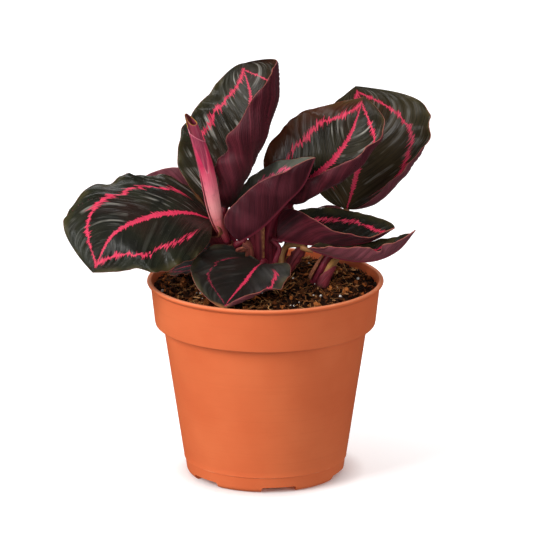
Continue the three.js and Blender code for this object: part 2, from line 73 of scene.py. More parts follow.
pitch = math.radians(CAMERA_PITCH)
camera = bpy.data.objects.new("camera", bpy.data.cameras.new("camera"))
bpy.context.scene.collection.objects.link(camera)
backward = Vector((0, -math.cos(pitch), math.sin(pitch)))
camera.location = metres(CAMERA_TARGET) + backward * CAMERA_DISTANCE * MM
camera.rotation_euler = (math.pi / 2 - pitch, 0, 0)
camera.data.lens = LENS
camera.data.clip_end = FARTHEST_VIEW
bpy.context.scene.camera = camera
print("camera at", tuple(round(value, 3) for value in camera.location))

# %% [markdown]
# ## Shader maths in plain Python
#
# A pattern such as the pink ring is a formula on the leaf's surface. Wrapping a socket in a class
# whose operators add Math nodes lets that formula be read as an ordinary expression.

# %% Sockets that can be used in expressions
class Socket:
    """The output of a shader node. Arithmetic on it adds Math nodes."""

    def __init__(self, paint, plug):
        self.paint = paint
        self.plug = plug

    def math(self, operation, *values, clamp=False):
        """One Math node on some values or sockets."""
        settings = {"operation": operation, "use_clamp": clamp}
        return self.paint.add("Math", settings, dict(enumerate(values)))

    def __add__(self, other):
        return self.math("ADD", self, other)

    def __sub__(self, other):
        return self.math("SUBTRACT", self, other)

    def __rsub__(self, other):
        return self.math("SUBTRACT", other, self)

    def __mul__(self, other):
        return self.math("MULTIPLY", self, other)

    def __truediv__(self, other):
        return self.math("DIVIDE", self, other)

    def __neg__(self):
        return self * -1

    def __abs__(self):
        return self.math("ABSOLUTE", self)

    __radd__ = __add__
    __rmul__ = __mul__

    def clamped(self):
        """The value kept between 0 and 1."""
        return self.math("ADD", self, 0, clamp=True)

    def larger(self, other):
        return self.math("MAXIMUM", self, other)

    def floor(self):
        return self.math("FLOOR", self)

    def fraction(self):
        return self.math("FRACT", self)

    def wave(self):
        """The cosine of the value in whole turns."""
        return self.math("COSINE", self * math.tau)

    def rises(self, start, end):
        """0 below start and 1 above end, with a straight ramp between."""
        return ((self - start) / (end - start)).clamped()


class Paint:
    """A material, and the one method that adds a node of any type to it."""

    def __init__(self, name):
        self.material = bpy.data.materials.new(name)
        self.material.use_nodes = True
        self.tree = self.material.node_tree
        self.surface = self.tree.nodes["Principled BSDF"]

    def add(self, kind, settings=None, sockets=None, output=0):
        """One output of a new node, after its settings are made and its sockets are fed."""
        node = self.tree.nodes.new("ShaderNode" + kind)
        for name, value in (settings or {}).items():
            setattr(node, name, value)
        for name, value in (sockets or {}).items():
            self.join(value, node.inputs[name])
        return Socket(self, node.outputs[output])

    def join(self, value, socket):
        if isinstance(value, Socket):
            self.tree.links.new(value.plug, socket)
        else:
            socket.default_value = value

    def set(self, **sockets):
        """Feeds the surface shader, by names such as Base_Color, and gives the finished material."""
        for name, value in sockets.items():
            self.join(value, self.surface.inputs[name.replace("_", " ")])
        return self.material


print("a socket has", len([name for name in dir(Socket) if not name.startswith("_")]), "named methods")

# %% Colours, noise and relief
MIX_FACTOR, MIX_A, MIX_B, MIX_RESULT = 0, 6, 7, 2


def tone(red, green, blue):
    """A colour read off a screen, from 0 to 255, as Blender's linear colour."""
    def linear(value):
        share = value / 255
        return share / 12.92 if share <= 0.04045 else ((share + 0.055) / 1.055) ** 2.4

    return (linear(red), linear(green), linear(blue), 1)


def mix(paint, under, over, factor):
    """One colour laid over another."""
    sockets = {MIX_FACTOR: factor, MIX_A: under, MIX_B: over}
    return paint.add("Mix", {"data_type": "RGBA"}, sockets, MIX_RESULT)


def read(paint, *names):
    """The numbers of these names that are stored on the mesh's points."""
    return [paint.add("Attribute", {"attribute_name": name}, output=2) for name in names]


def point(paint, x, y, z=0):
    """Three numbers as the place at which a pattern is read."""
    return paint.add("CombineXYZ", None, {"X": x, "Y": y, "Z": z})


def millimetres(paint):
    """The place on the piece, in millimetres."""
    place = paint.add("TexCoord", None, None, 3)
    return paint.add("VectorMath", {"operation": "SCALE"}, {"Vector": place, "Scale": 1 / MM})


def cloud(paint, place, scale, detail=2, roughness=0.5):
    """Soft noise from 0 to 1. The scale is the number of its blobs in one unit of place."""
    sockets = {"Vector": place, "Scale": scale, "Detail": detail, "Roughness": roughness}
    return paint.add("TexNoise", {"noise_dimensions": "3D"}, sockets)


def streaky(paint, vein, rib, grain, scale, stretch, detail=2, roughness=0.5):
    """Noise drawn out along the side veins, longer with a smaller stretch."""
    return cloud(paint, point(paint, vein, rib * stretch, grain), scale, detail, roughness)


def relief(paint, height, depth):
    """A normal bent by a height from 0 to 1 that stands for a depth in millimetres."""
    return paint.add("Bump", None, {"Height": height, "Distance": depth * MM, "Strength": 1})


print("mid grey is", round(tone(128, 128, 128)[0], 3), "in linear light")

# %% [markdown]
# ## Curves and skins
#
# Midribs and stalks run along smooth curves through a few given points. A leaf, a stalk and a
# sheath are all the same kind of shape: rings of points along such a curve, joined by a skin. So one
# curve class and one skin function serve the whole plant.

# %% Curves
def unit(vectors):
    """The same directions with a length of 1."""
    return vectors / np.linalg.norm(vectors, axis=-1, keepdims=True)


def square_to(directions, axes):
    """The part of each direction that is square to its axis."""
    return unit(directions - (directions * axes).sum(-1, keepdims=True) * axes)


def ramp(values, start, end):
    """0 up to start and 1 from end on, with a straight ramp between."""
    return np.clip((values - start) / (end - start), 0, 1)


def blend(values, t):
    """A smooth value or direction through three given ones, at the start, middle and end."""
    start, middle, end = (np.asarray(value, float) for value in values)
    t = np.asarray(t, float)
    if start.ndim:
        t = t[..., None]
    return start * (1 - t) * (1 - 2 * t) + middle * 4 * t * (1 - t) + end * t * (2 * t - 1)


class Route:
    """A smooth curve through points, read by share of its length."""

    SAMPLES = 60  # between two of its points
    STEP = 0.004  # share of its length over which its direction is read

    def __init__(self, points):
        points = np.array(points, float)
        before = 2 * points[0] - points[1]
        after = 2 * points[-1] - points[-2]
        corners = np.vstack([before, points, after])
        spans = len(points) - 1
        t = np.linspace(0, spans, self.SAMPLES * spans + 1)
        first = np.minimum(t.astype(int), spans - 1)
        f = (t - first)[:, None]
        p0, p1, p2, p3 = (corners[first + n] for n in range(4))
        leave = (p2 - p0) / 2
        arrive = (p3 - p1) / 2
        square = 3 * (p2 - p1) - 2 * leave - arrive
        cube = 2 * (p1 - p2) + leave + arrive
        self.line = p1 + f * leave + f**2 * square + f**3 * cube
        steps = np.linalg.norm(np.diff(self.line, axis=0), axis=1)
        self.length = steps.sum()
        self.shares = np.append(0, np.cumsum(steps)) / self.length

    def at(self, share):
        return np.stack([np.interp(share, self.shares, self.line[:, n]) for n in range(3)], -1)

    def ahead(self, share):
        share = np.asarray(share, float)
        before = self.at(np.maximum(share - self.STEP, 0))
        after = self.at(np.minimum(share + self.STEP, 1))
        return unit(after - before)


print("a straight 10 mm route measures", Route([(0, 0, 0), (0, 0, 10)]).length)

# %% Skins
def ring_faces(rows, count):
    """Quads between rings of points, and a cap at each end."""
    faces = []
    for row in range(rows - 1):
        for k in range(count):
            across = (k + 1) % count
            faces.append((row * count + k, row * count + across,
                          (row + 1) * count + across, (row + 1) * count + k))
    faces.append(tuple(reversed(range(count))))
    faces.append(tuple(range((rows - 1) * count, rows * count)))
    return faces


def two_faced(outer, inner, stored):
    """A closed sheet: rings of points that go across its outer face and back across its inner."""
    points = np.hstack([outer, inner[:, ::-1]]).reshape(-1, 3)
    stored = {key: np.hstack([values, values[:, ::-1]]) for key, values in stored.items()}
    return points, ring_faces(len(outer), 2 * outer.shape[1]), stored


def outward(mesh):
    """Turns every face of closed bodies to point out."""
    shape = bmesh.new()
    shape.from_mesh(mesh)
    bmesh.ops.recalc_face_normals(shape, faces=shape.faces)
    shape.to_mesh(mesh)
    shape.free()


def make_piece(name, points, faces, paints, stored=None, paint_of=None, stands_for=None):
    """A smooth mesh from points in millimetres, which rides on the plant's one body."""
    mesh = bpy.data.meshes.new(name)
    mesh.from_pydata((np.asarray(points) * MM).tolist(), [], faces)
    for paint in paints:
        mesh.materials.append(paint)
    if paint_of is not None:
        mesh.polygons.foreach_set("material_index", np.asarray(paint_of, np.int32))
    for key, values in (stored or {}).items():
        layer = mesh.attributes.new(key, "FLOAT", "POINT")
        layer.data.foreach_set("value", np.ravel(values).astype(np.float32))
    outward(mesh)
    mesh.polygons.foreach_set("use_smooth", [True] * len(mesh.polygons))
    piece = bpy.data.objects.new(name, mesh)
    bpy.context.scene.collection.objects.link(piece)
    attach(piece, "root")
    if stands_for:
        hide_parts(stands_for)
    return piece


print("a ring of 6 points over 3 rows has", len(ring_faces(3, 6)), "faces")

# %% [markdown]
# ## The leaves
#
# Each leaf is set by the route of its midrib, the way its upper face looks, and two halves that
# fold up at the midrib and curl towards the edge. Half of the plant's character is in these folds:
# one leaf is rolled over so far that its burgundy back shows, another is shut like a boat. The
# solid model has the same midribs and nearly the same halves, so the fine leaves lie where its
# leaves lie.

# %% The leaves of the plant
# For each leaf: the route of its midrib from base to tip, the direction its upper face looks (at the
# base, middle and tip), and how far it keeps to its chord where its midrib bends (steady). For each
# half, seen with the tip ahead and the upper face up: its width, where along the leaf it is widest
# (peak), how round its base and tip are (a smaller number is blunter) and how late it narrows (full),
# and in degrees how far it folds up at the midrib and curls on towards its margin, the curl setting
# in later with a larger power. A wave is a height, a count and a phase. A tear is its place along the
# leaf, its reach and its depth. The ring's place is a share of the half, where it isn't the usual one.
LEAVES = dict(
    leaf_left=dict(
        rib=((-27.5, -6, 134), (-40.5, -12, 139), (-59, -18, 138), (-76, -26, 131), (-86, -34, 114)),
        face=((-1, -6, 8), (-1, -6.6, 7.5), (-2.5, -8, 4)),
        steady=0.3,
        left=dict(
            width=31, peak=0.56, base=0.4, tip=1, fold=(-10, -5, 0), curl=(-25, -15, 5),
            wave=(0.6, 3, 0.2),
        ),
        right=dict(
            width=33, peak=0.52, base=0.3, tip=0.8, full=3.4, fold=(5, 0, -5), curl=(-20, -22, 0),
            wave=(0.9, 5, 0.1),
        ),
    ),
    leaf_tall=dict(
        rib=((-20.5, 4, 137.5), (-14.5, 6, 159), (-8.5, 8, 179.5), (-7.5, 14, 193.5), (-12, 22, 208)),
        face=((-3.5, -9, 1), (-3.5, -9, 2), (-2.5, -9, 3.5)),
        left=dict(width=32, peak=0.4, tip=0.7, fold=(15, 10, 5), curl=(20, 10, 0), wave=(0.5, 3, 0)),
        right=dict(
            width=43, peak=0.62, base=0.45, tip=0.28, fold=(20, 10, 0), curl=(190, 182, 66), power=1.3,
            wave=(1.6, 4.5, 0.5),
        ),
    ),
    leaf_folded=dict(
        rib=((-12.5, -12, 124.5), (-1.5, -16, 133), (10, -20, 146), (19, -24, 157), (24.5, -28, 171.5)),
        face=((-6, 3, 6), (-6, 3.5, 6.5), (-7, 3, 5)),
        left=dict(
            width=29, peak=0.38, base=0.2, tip=0.85, fold=(68, 58, 38), curl=(12, 12, 12),
            wave=(0.6, 4, 0), ring=0.77,
        ),
        right=dict(
            width=20, peak=0.32, base=0.17, fold=(60, 50, 30), curl=(40, 40, 30), wave=(0.6, 3, 0.3),
        ),
    ),
    leaf_broad=dict(
        rib=((12.5, 0, 141.5), (22.5, -4, 154), (34, -5, 164.5), (43, -2, 177.5), (49.5, 8, 194)),
        face=((0, -8, 5.5), (0, -8.5, 5), (1, -8.5, 4.5)),
        left=dict(
            width=29.5, peak=0.5, base=0.25, tip=1.15, fold=(5, 5, 0), curl=(10, 0, -10),
            wave=(0.4, 3, 0), ring=0.6,
        ),
        right=dict(
            width=30, peak=0.5, fold=(15, 10, 0), curl=(210, 160, 40), power=1.6, wave=(0.8, 6, 0.3),
        ),
    ),
    leaf_rear_right=dict(
        rib=((41.5, 16, 133.5), (45, 16, 146.5), (49, 20, 166), (50, 28, 181.5), (46, 38, 192.5)),
        face=((1, -8.5, 5), (1.5, -8, 5), (1, -7, 7)),
        left=dict(width=28, peak=0.5, tip=1, fold=(5, 5, 0), curl=(-10, -10, -10), wave=(0.4, 3, 0)),
        right=dict(
            width=40, peak=0.55, tip=0.68, fold=(0, 0, 0), curl=(230, 120, -20), power=2.4,
            wave=(0.6, 3, 0.3),
        ),
    ),
    leaf_side_upper=dict(
        rib=((6.5, -3, 123), (23, -7, 121.5), (38.5, -11, 122), (53.5, -15, 125.5), (64.5, -19, 133)),
        face=((0, 2, 9.5), (0, 3, 9.5), (0, 3, 9.5)),
        left=dict(
            width=24, peak=0.4, base=0.35, tip=0.62, fold=(60, 55, 50), curl=(10, 10, 0),
            wave=(0.4, 3, 0), ring=0.72,
        ),
        right=dict(
            width=19, peak=0.22, base=0.14, tip=1.3, fold=(95, 30, 10), curl=(20, 10, 0),
            wave=(0.4, 3, 0.3),
        ),
    ),
    leaf_side_lower=dict(
        rib=(
            (22, -15.5, 121.5), (38.5, -20, 117.5), (53.5, -24, 117.5), (66, -28, 124),
            (74.5, -32, 135.5),
        ),
        face=((0, 2, 9.5), (0, 3, 9.5), (-4, 3, 8.5)),
        left=dict(
            width=14.5, peak=0.55, base=0.5, tip=1.1, fold=(46, 52, 54), curl=(10, 10, 0),
            wave=(0.5, 4, 0),
        ),
        right=dict(
            width=11.5, peak=0.42, base=0.5, tip=1.1, fold=(17, 40, 32), curl=(10, 10, 10),
            wave=(0.4, 4, 0.3), tear=(0.63, 0.04, 0.36),
        ),
    ),
    leaf_front=dict(
        rib=(
            (-1.5, -14, 113.5), (-5.5, -21, 112), (-10.5, -31.5, 108), (-16.5, -43, 104),
            (-21, -50, 100),
        ),
        face=((0, -5, 8.5), (0, -5, 8.5), (0, -5, 8.5)),
        left=dict(
            width=21, peak=0.35, base=0.12, fold=(15, 10, 0), curl=(30, 20, 160), power=1.8,
            wave=(0.8, 3, 0.3), ring=0.7,
        ),
        right=dict(width=29, peak=0.45, base=0.3, fold=(5, 5, 0), curl=(20, 0, 0), wave=(0.8, 3, 0)),
    ),
    leaf_rear_left=dict(
        rib=((-25, 10, 126.5), (-33.5, 18, 132.5), (-43.5, 24, 136), (-54, 30, 138), (-65.5, 36, 140.5)),
        face=((0, 2, 9.5), (0, 3, 9.5), (0, 3, 9.5)),
        left=dict(width=20, peak=0.4, fold=(80, 70, 50), curl=(10, 10, 10), wave=(0.4, 3, 0)),
        right=dict(width=20, peak=0.4, fold=(20, 10, 0), curl=(0, -10, 0), wave=(0.4, 3, 0.3)),
    ),
    leaf_ground=dict(
        rib=((-24, 7, 109.5), (-31, 9, 107.5), (-38.5, 12, 104.5), (-44.5, 14, 102.5), (-50, 16, 99.5)),
        face=((0, -3, 9.5), (0, -3, 9.5), (0, -3, 9.5)),
        left=dict(width=10, fold=(10, 10, 10), curl=(0, 0, 0), wave=(0.4, 2, 0)),
        right=dict(width=16, fold=(20, 20, 20), curl=(10, 10, 10), wave=(0.4, 2, 0.3)),
    ),
    leaf_rear_small=dict(
        rib=((13.5, 14, 119), (22, 22, 122), (29, 30, 123), (35.5, 36, 123), (41.5, 42, 122.5)),
        face=((0, 2, 9.5), (0, 3, 9.5), (0, 3, 9.5)),
        left=dict(width=14, peak=0.55, fold=(10, 10, 10), curl=(0, 0, 0), wave=(0.4, 2, 0)),
        right=dict(width=10, peak=0.55, fold=(80, 80, 60), curl=(20, 20, 20), wave=(0.4, 2, 0.3)),
    ),
    leaf_rear=dict(
        rib=((5.5, 14, 117.5), (7.5, 18, 124.5), (6.5, 24, 132), (4, 30, 139), (0, 38, 144)),
        face=((1, -7, 7), (1, -7, 7), (1, -6, 8)),
        left=dict(width=10, fold=(20, 10, 10), curl=(0, 0, 0), wave=(0.4, 2, 0)),
        right=dict(width=8, fold=(20, 10, 10), curl=(10, 10, 0), wave=(0.4, 2, 0.3)),
    ),
)

# A plain skin, and how each leaf's skin differs from it: the heights of its pleats and of its
# margin's waves, how pale its back is (below 0, how deep), how dry its tip and how scorched the base
# of its right half is, how brown or dull its upper face is and how grey with a painted sheen, and for
# either half how faded its ring is, how brightly its pleats show painted glints, and how strong a
# painted glow of light shining through is at its margin.
PLAIN_SKIN = dict(
    pleat=0.22, waves=0.28, pale=0, dry=0, scorch=0, brown=0, dull=0, grey=0,
    faded=(0, 0), glinting=(0.1, 0.1), glow=(0, 0),
)
SKINS = dict(
    leaf_left=dict(pleat=0.45, waves=0.65, scorch=0.9, glinting=(0.05, 0.5)),
    leaf_tall=dict(pleat=0.55, waves=0.8, brown=0.3, glow=(0, 0.8), glinting=(1, 0.8)),
    leaf_folded=dict(pale=-0.8, waves=0.4, grey=0.8),
    leaf_broad=dict(pleat=0.4, waves=0.45, brown=0.25, glow=(1, 0), glinting=(0.8, 0.8)),
    leaf_rear_right=dict(pleat=0.45, waves=0.75, brown=0.8, pale=0.4, glinting=(0.3, 0.3)),
    leaf_rear_left=dict(pale=0.5),
    leaf_side_upper=dict(pleat=0.3),
    leaf_side_lower=dict(pale=0.8, faded=(0.5, 0.5)),
    leaf_front=dict(pale=0.6, dry=1, faded=(0.25, 1), dull=0.6),
    leaf_ground=dict(dry=0.5, faded=(0.7, 0.7), dull=1, pale=-0.5),
)
widths = [leaf["left"]["width"] + leaf["right"]["width"] for leaf in LEAVES.values()]
print(len(LEAVES), "open leaves,", min(widths), "to", max(widths), "mm wide when flattened")

# %% [markdown]
# ### The outline and the section
#
# Seen flat, half a leaf widens along one power curve and narrows along another, which gives the
# broad shoulder and the short point. In section, the half leaves the midrib at its fold angle,
# curls on and keeps its true width, because the slope is added up step by step.

# %% Outline and section
FOLD_WIDTH = 2.5  # width over which a fold rounds into the midrib
LEAST_WIDTH = 0.3  # so that a half never closes to nothing at the leaf's two ends
CURL_POWER = 1.5  # how late a curl sets in, where a half doesn't say
SLOPE_STEPS = 4  # steps between two points of a section, in which its slope is added up


def half_width(u, peak=0.45, base=0.5, tip=0.62, full=2):
    """The width of one half at a share of the leaf's length, as a share of its widest."""
    rising = (1 - (1 - ramp(u, 0, peak)) ** 2) ** base
    falling = (1 - ramp(u, peak, 1) ** full) ** tip
    return np.where(u < peak, rising, falling)


def half_section(half, u, shares):
    """Width, and the offset out, offset up and slope of points across one half, for each row."""
    outline = {key: half[key] for key in ("peak", "base", "tip", "full") if key in half}
    place, reach, depth = half.get("tear", (0.5, 1, 0))
    torn = 1 - depth * np.exp(-(((u - place) / reach) ** 4))
    width = np.maximum(half["width"] * half_width(u, **outline) * torn, LEAST_WIDTH)[:, None]
    fold = np.radians(blend(half["fold"], u))[:, None]
    curl = np.radians(blend(half["curl"], u))[:, None]
    power = half.get("power", CURL_POWER)
    count = len(shares) - 1
    fine = np.interp(np.arange(SLOPE_STEPS * count + 1) / SLOPE_STEPS, np.arange(count + 1), shares)

    def slope(share):
        return fold * (1 - np.exp(-share * width / FOLD_WIDTH)) + curl * share**power

    middles = slope((fine[1:] + fine[:-1]) / 2)
    lengths = np.diff(fine) * width
    out = np.cumsum(np.cos(middles) * lengths, axis=1)[:, SLOPE_STEPS - 1 :: SLOPE_STEPS]
    up = np.cumsum(np.sin(middles) * lengths, axis=1)[:, SLOPE_STEPS - 1 :: SLOPE_STEPS]
    slopes = slope(shares[1:][None, :])
    height, waves, phase = half["wave"]
    lift = height * np.sin(2 * np.pi * (waves * u + phase)) * np.sqrt(np.sin(np.pi * u))
    lift = lift[:, None] * shares[1:] ** 2
    return width, out - np.sin(slopes) * lift, up + np.cos(slopes) * lift, slopes


usual = half_width(np.linspace(0, 1, 5))
print("half width along a leaf:", [round(float(value), 2) for value in usual])

# %% [markdown]
# ### Pleats, veins and the ring
#
# The side veins leave the midrib at a slant and sweep towards the tip. A single number, the place
# on the midrib where a point's vein starts, is the same all along one vein, so pleats, fine veins
# and the feathered edges of the ring are all simple functions of it. It is stored on the mesh
# with the distances in millimetres to the midrib, the margin and the ring.

# %% Pleats and stored numbers
RING_SHARE = 0.63  # the ring's place across a half leaf
RING_START = 0.25  # how much of that place it has at the leaf's base
RING_OPENS = 0.35  # where along the leaf the ring has reached that place
RING_TURNS_IN = 0.55  # where it starts to close again
RING_APEX = 0.955  # where it meets the midrib
RING_CLOSING = 2.4  # how late it bends in to meet it
PLEAT = 6.4  # width of a pleat along the midrib
FINE_PLEAT = 2.7  # width of a smaller fold on it
FINE_PLEAT_SHARE = 0.12  # height of that fold, as a share of the pleat's


def ring_share(u, widest=RING_SHARE):
    """The ring's place across the half leaf, from the midrib (0) to the margin (1)."""
    opening = 1 - (1 - RING_START) * ramp(u, RING_OPENS, 0) ** 2
    closing = ramp(u, RING_TURNS_IN, RING_APEX) ** RING_CLOSING
    return widest * opening * (1 - closing)


def pleats(vein, share, u, height, seed):
    """Long soft folds along the side veins, flat at the midrib and at the leaf's two ends. Their
    width and height wander slowly, so that no two are alike."""
    wander = 1.1 * np.sin(vein / 4.1 + seed) + 0.7 * np.sin(vein / 2.3 + 2 * seed)
    strength = 0.65 + 0.35 * np.sin(vein / 5.3 + 3 * seed)
    flank = ramp(share, 0.05, 0.35)
    ends = ramp(u, 0, 0.15) * ramp(u, 1, 0.88)
    fine = FINE_PLEAT_SHARE * np.sin(2 * np.pi * vein / FINE_PLEAT - 2 * wander)
    folds = np.sin(2 * np.pi * vein / PLEAT + wander) + fine
    return height * strength * folds * flank * ends


def ripple(u, share, seed, height):
    """Small irregular waves of the margin."""
    waves = np.sin(2 * np.pi * (4.3 * u + seed)) + 0.6 * np.sin(2 * np.pi * (7.7 * u + 2.3 * seed))
    return height * waves * share**4 * np.sqrt(np.sin(np.pi * np.clip(u, 0, 1)))


print("the ring lies at", [round(float(ring_share(u)), 2) for u in (0.2, 0.7, 0.9)], "of the half width")

# %% The blade
BLADE = 0.5  # thickness of a leaf
RIM_THINNING = 0.35  # share of it that is lost at the margin
LEAF_ROWS = 96
LEAF_COLUMNS = 30
COLUMN_CROWDING = 1.3  # above 1, the columns crowd towards the midrib, where the fold is tight
VEIN_LEAN = 1.1  # how far forward a side vein sweeps, as a share of the half's width
VEIN_BEND = 1.2  # how much more it sweeps near the margin
RIM_RIPPLE = 0.7  # how much of the margin's waves also goes in and out
CREASE_DEPTH = 0.12  # the groove over the midrib
CREASE_WIDTH = 0.55
KEEL_WIDTH = 1.0  # the midrib as it stands out behind
KEEL_TIP = 0.2  # how far it stands out at the leaf's tip
KEEL_GROWTH = 0.75  # how much farther at its base
DRY_TIP = (0.95, 0.99)  # where along the leaf a dry tip starts, and where it is dry in full
SCORCHED_FOOT = (0.08, 0.05)  # the same for a scorched base
SCORCHED_SIDE = (0.5, 0.7)  # and across the half leaf, towards its margin
STEADY = 0.5  # how far a leaf keeps to its chord, where it doesn't say
FULL_LENGTH = 70  # a leaf of this length has a ring and midrib of the full width
LARGEST_SIZE = 1.1  # and on a longer leaf they are at most this much wider


def grow_half(half, hand, u, shares, length, seed, skin):
    """One half of a leaf: its section, and what its pleats and paints need at each point."""
    width, out, rise, slope = half_section(half, u, shares)
    share = np.broadcast_to(shares[1:], out.shape)
    along = np.broadcast_to(u[:, None], out.shape)
    vein = length * along - VEIN_LEAN * half["width"] * share**VEIN_BEND
    height = pleats(vein, share, along, skin["pleat"], seed + hand)
    height = height + ripple(along, share, seed + 0.4 * hand, skin["waves"])
    out = out + ripple(along, share, seed + 0.7 * hand, RIM_RIPPLE * skin["waves"])
    return dict(
        hand=np.full(out.shape, hand), out=out, rise=rise, slope=slope, height=height, share=share,
        vein=vein, rib=share * width, edge=(1 - share) * width,
        ring=(share - ring_share(along, half.get("ring", RING_SHARE))) * width,
    )


def skin_numbers(across, length, seed, skin):
    """What the leaf's paints read at each point of one face."""
    shape = across["out"].shape
    on_left = across["hand"] < 0
    stored = {key: across[key] for key in ("vein", "rib", "edge", "ring", "along")}
    stored["grain"] = seed * 3 + across["hand"]
    stored["size"] = np.full(shape, min(LARGEST_SIZE, length / FULL_LENGTH))
    for key in ("pale", "brown", "dull", "grey"):
        stored[key] = np.full(shape, skin[key])
    for key in ("faded", "glow", "glinting"):
        stored[key] = np.where(on_left, *skin[key])
    tip = ramp(across["along"], *DRY_TIP)
    scorched = ramp(across["along"], *SCORCHED_FOOT) * ramp(across["share"], *SCORCHED_SIDE)
    stored["dry"] = skin["dry"] * tip + np.where(on_left, 0, skin["scorch"]) * scorched
    return stored


def make_blade(leaf, seed, skin, rows=LEAF_ROWS, columns=LEAF_COLUMNS):
    """The points and faces of a leaf, its stored numbers, and the paint of each face."""
    skin = {**PLAIN_SKIN, **skin}
    route = Route(leaf["rib"])
    chord = unit(np.subtract(leaf["rib"][-1], leaf["rib"][0]))
    u = 0.5 - 0.5 * np.cos(np.pi * (np.arange(rows) + 0.5) / rows)
    centre = route.at(u)
    steady = leaf.get("steady", STEADY)
    ahead = unit(route.ahead(u) * (1 - steady) + chord * steady)
    up = square_to(blend(leaf["face"], u), ahead)
    side = np.cross(ahead, up)
    shares = (np.arange(columns + 1) / columns) ** COLUMN_CROWDING
    left = grow_half(leaf["left"], -1, u, shares, route.length, seed, skin)
    right = grow_half(leaf["right"], 1, u, shares, route.length, seed, skin)
    spine = {key: np.zeros((rows, 1)) for key in left}
    spine["vein"] = route.length * u[:, None]
    spine["edge"] = (left["rib"] + left["edge"])[:, :1]
    spine["ring"] = -ring_share(u)[:, None] * spine["edge"]
    across = {key: np.hstack([left[key][:, ::-1], spine[key], right[key]]) for key in left}
    across["along"] = np.broadcast_to(u[:, None], across["out"].shape)

    def face(offset):
        tilt = across["slope"]
        sideways = across["hand"] * (across["out"] - offset * np.sin(tilt))
        upward = across["rise"] + offset * np.cos(tilt)
        return centre[:, None] + sideways[..., None] * side[:, None] + upward[..., None] * up[:, None]

    thick = BLADE * (1 - RIM_THINNING * across["share"] ** 6)
    crease = CREASE_DEPTH * np.exp(-((across["rib"] / CREASE_WIDTH) ** 2))
    standing = KEEL_TIP + KEEL_GROWTH * (1 - across["along"])
    keel = standing * np.exp(-((across["rib"] / KEEL_WIDTH) ** 2))
    top = face(across["height"] + thick / 2 - crease)
    bottom = face(across["height"] - thick / 2 - keel)
    stored = skin_numbers(across, route.length, seed, skin)
    points, faces, stored = two_faced(top, bottom, stored)
    on_top, behind, at_margin = 0, 1, 2
    one_face = top.shape[1] - 1
    row_paint = [on_top] * one_face + [at_margin] + [behind] * one_face + [at_margin]
    return points, faces, stored, row_paint * (rows - 1) + [behind, behind]


print("a leaf has", LEAF_ROWS, "rows of", 2 * (2 * LEAF_COLUMNS + 1), "points")

# %% [markdown]
# ### The upper face
#
# The blade is almost black, with green and brown clouds and greyish streaks of painted sheen along
# the veins. Its pleats are so glossy that each crest shows a pale streak of light. The lamps draw the
# long ones, and the short broken ones, the glints, are painted highlights. Some leaves have a grey
# painted sheen as well, and some a red-brown painted glow of light shining through near the margin.
# The pink ring is not printed with a clean edge: it is feathered into small teeth that point along
# the side veins. Teeth are made by giving every millimetre or so of vein its own random reach, and by
# painting pink where the distance to the ring is less than that reach.

# %% The feathered pink
BLUR = 0.16  # width over which pink fades into the blade
SLOW = 0.16  # blobs of slow change for each millimetre of vein
STROKE = 1.25  # length of vein over which the ring keeps its place
STROKE_STEP = 2  # width within which it steps from one stroke to the next
RING_WANDER = 5  # width within which it wanders more slowly
RING_BODY = 0.45  # half the ring's width between its teeth
RING_FADES_IN = (0.1, 0.2)  # where along the leaf the ring starts to show
RING_ENDS = (0.96, 0.97)
MIDRIB_BODY = 0.95  # half the width of the midrib's band between its teeth
MIDRIB_ENDS = (0.93, 0.95)


def teeth(paint, vein, grain, spacing, reach, seed):
    """Pointed teeth of random length, one for each spacing of vein."""
    place = vein / spacing
    drawn = paint.add("TexWhiteNoise", {"noise_dimensions": "2D"},
                      {"Vector": point(paint, place.floor(), (grain + seed).floor())})
    pointed = 1 - abs(place.fraction() * 2 - 1)
    return drawn * pointed * reach


def pink_ring(paint, vein, grain, ring, along, faded, size):
    """Where the ring shows, from 0 to 1. A faded ring is thinner."""
    warped = vein + cloud(paint, point(paint, vein, grain * 7), 0.35) * 3
    wander = (cloud(paint, point(paint, vein, grain * 5, 3), SLOW) - 0.5) * RING_WANDER
    stroke = paint.add("TexWhiteNoise", {"noise_dimensions": "2D"},
                       {"Vector": point(paint, (warped / STROKE).floor(), grain)})
    wander = wander + (stroke - 0.5) * STROKE_STEP
    # Close to the leaf's tip the two sides of the ring meet, and there it doesn't wander.
    middle = ring + wander * (1 - along).rises(0.08, 0.4) * size
    strength = cloud(paint, point(paint, vein, grain * 3, 9), SLOW).rises(0.3, 0.65) * 0.7 + 0.35
    inner = (teeth(paint, warped, grain, spacing=1.15, reach=3.4, seed=11)
             + teeth(paint, warped, grain, spacing=0.7, reach=0.9, seed=47))
    outer = (teeth(paint, warped, grain, spacing=1.3, reach=3.2, seed=83)
             + teeth(paint, warped, grain, spacing=0.8, reach=0.9, seed=19))
    strength = strength * (1 - faded * 0.4) * (0.35 + size * 0.65)
    # The ring's body and its teeth grow from the leaf's base and shrink again towards its tip.
    thick = RING_BODY * (along.rises(0.08, 0.4) * 0.5 + 0.5) * (1 - along.rises(0.75, 0.95) * 0.5)
    long = (along.rises(0.02, 0.3) * 0.5 + 0.5) * (1 - along.rises(0.9, 0.97) * 0.7)
    inner = (thick + inner * long) * strength
    outer = (thick + outer * long) * strength
    ends = along.rises(*RING_FADES_IN) * (1 - along.rises(*RING_ENDS))
    return (middle + inner).rises(0, BLUR) * (outer - middle).rises(0, BLUR) * ends


def pink_midrib(paint, vein, grain, rib, along, size):
    """Where the midrib's band shows, with short teeth along the side veins."""
    stout = (along.rises(0, 0.3) * 0.8 + 0.2) * (1 - along.rises(0.45, 0.95) * 0.85)
    feather = (teeth(paint, vein, grain, spacing=1.4, reach=1.5, seed=29)
               + teeth(paint, vein, grain, spacing=0.8, reach=0.7, seed=61))
    half = (feather + MIDRIB_BODY) * stout * size
    return (half - rib).rises(0, BLUR) * (1 - along.rises(*MIDRIB_ENDS))


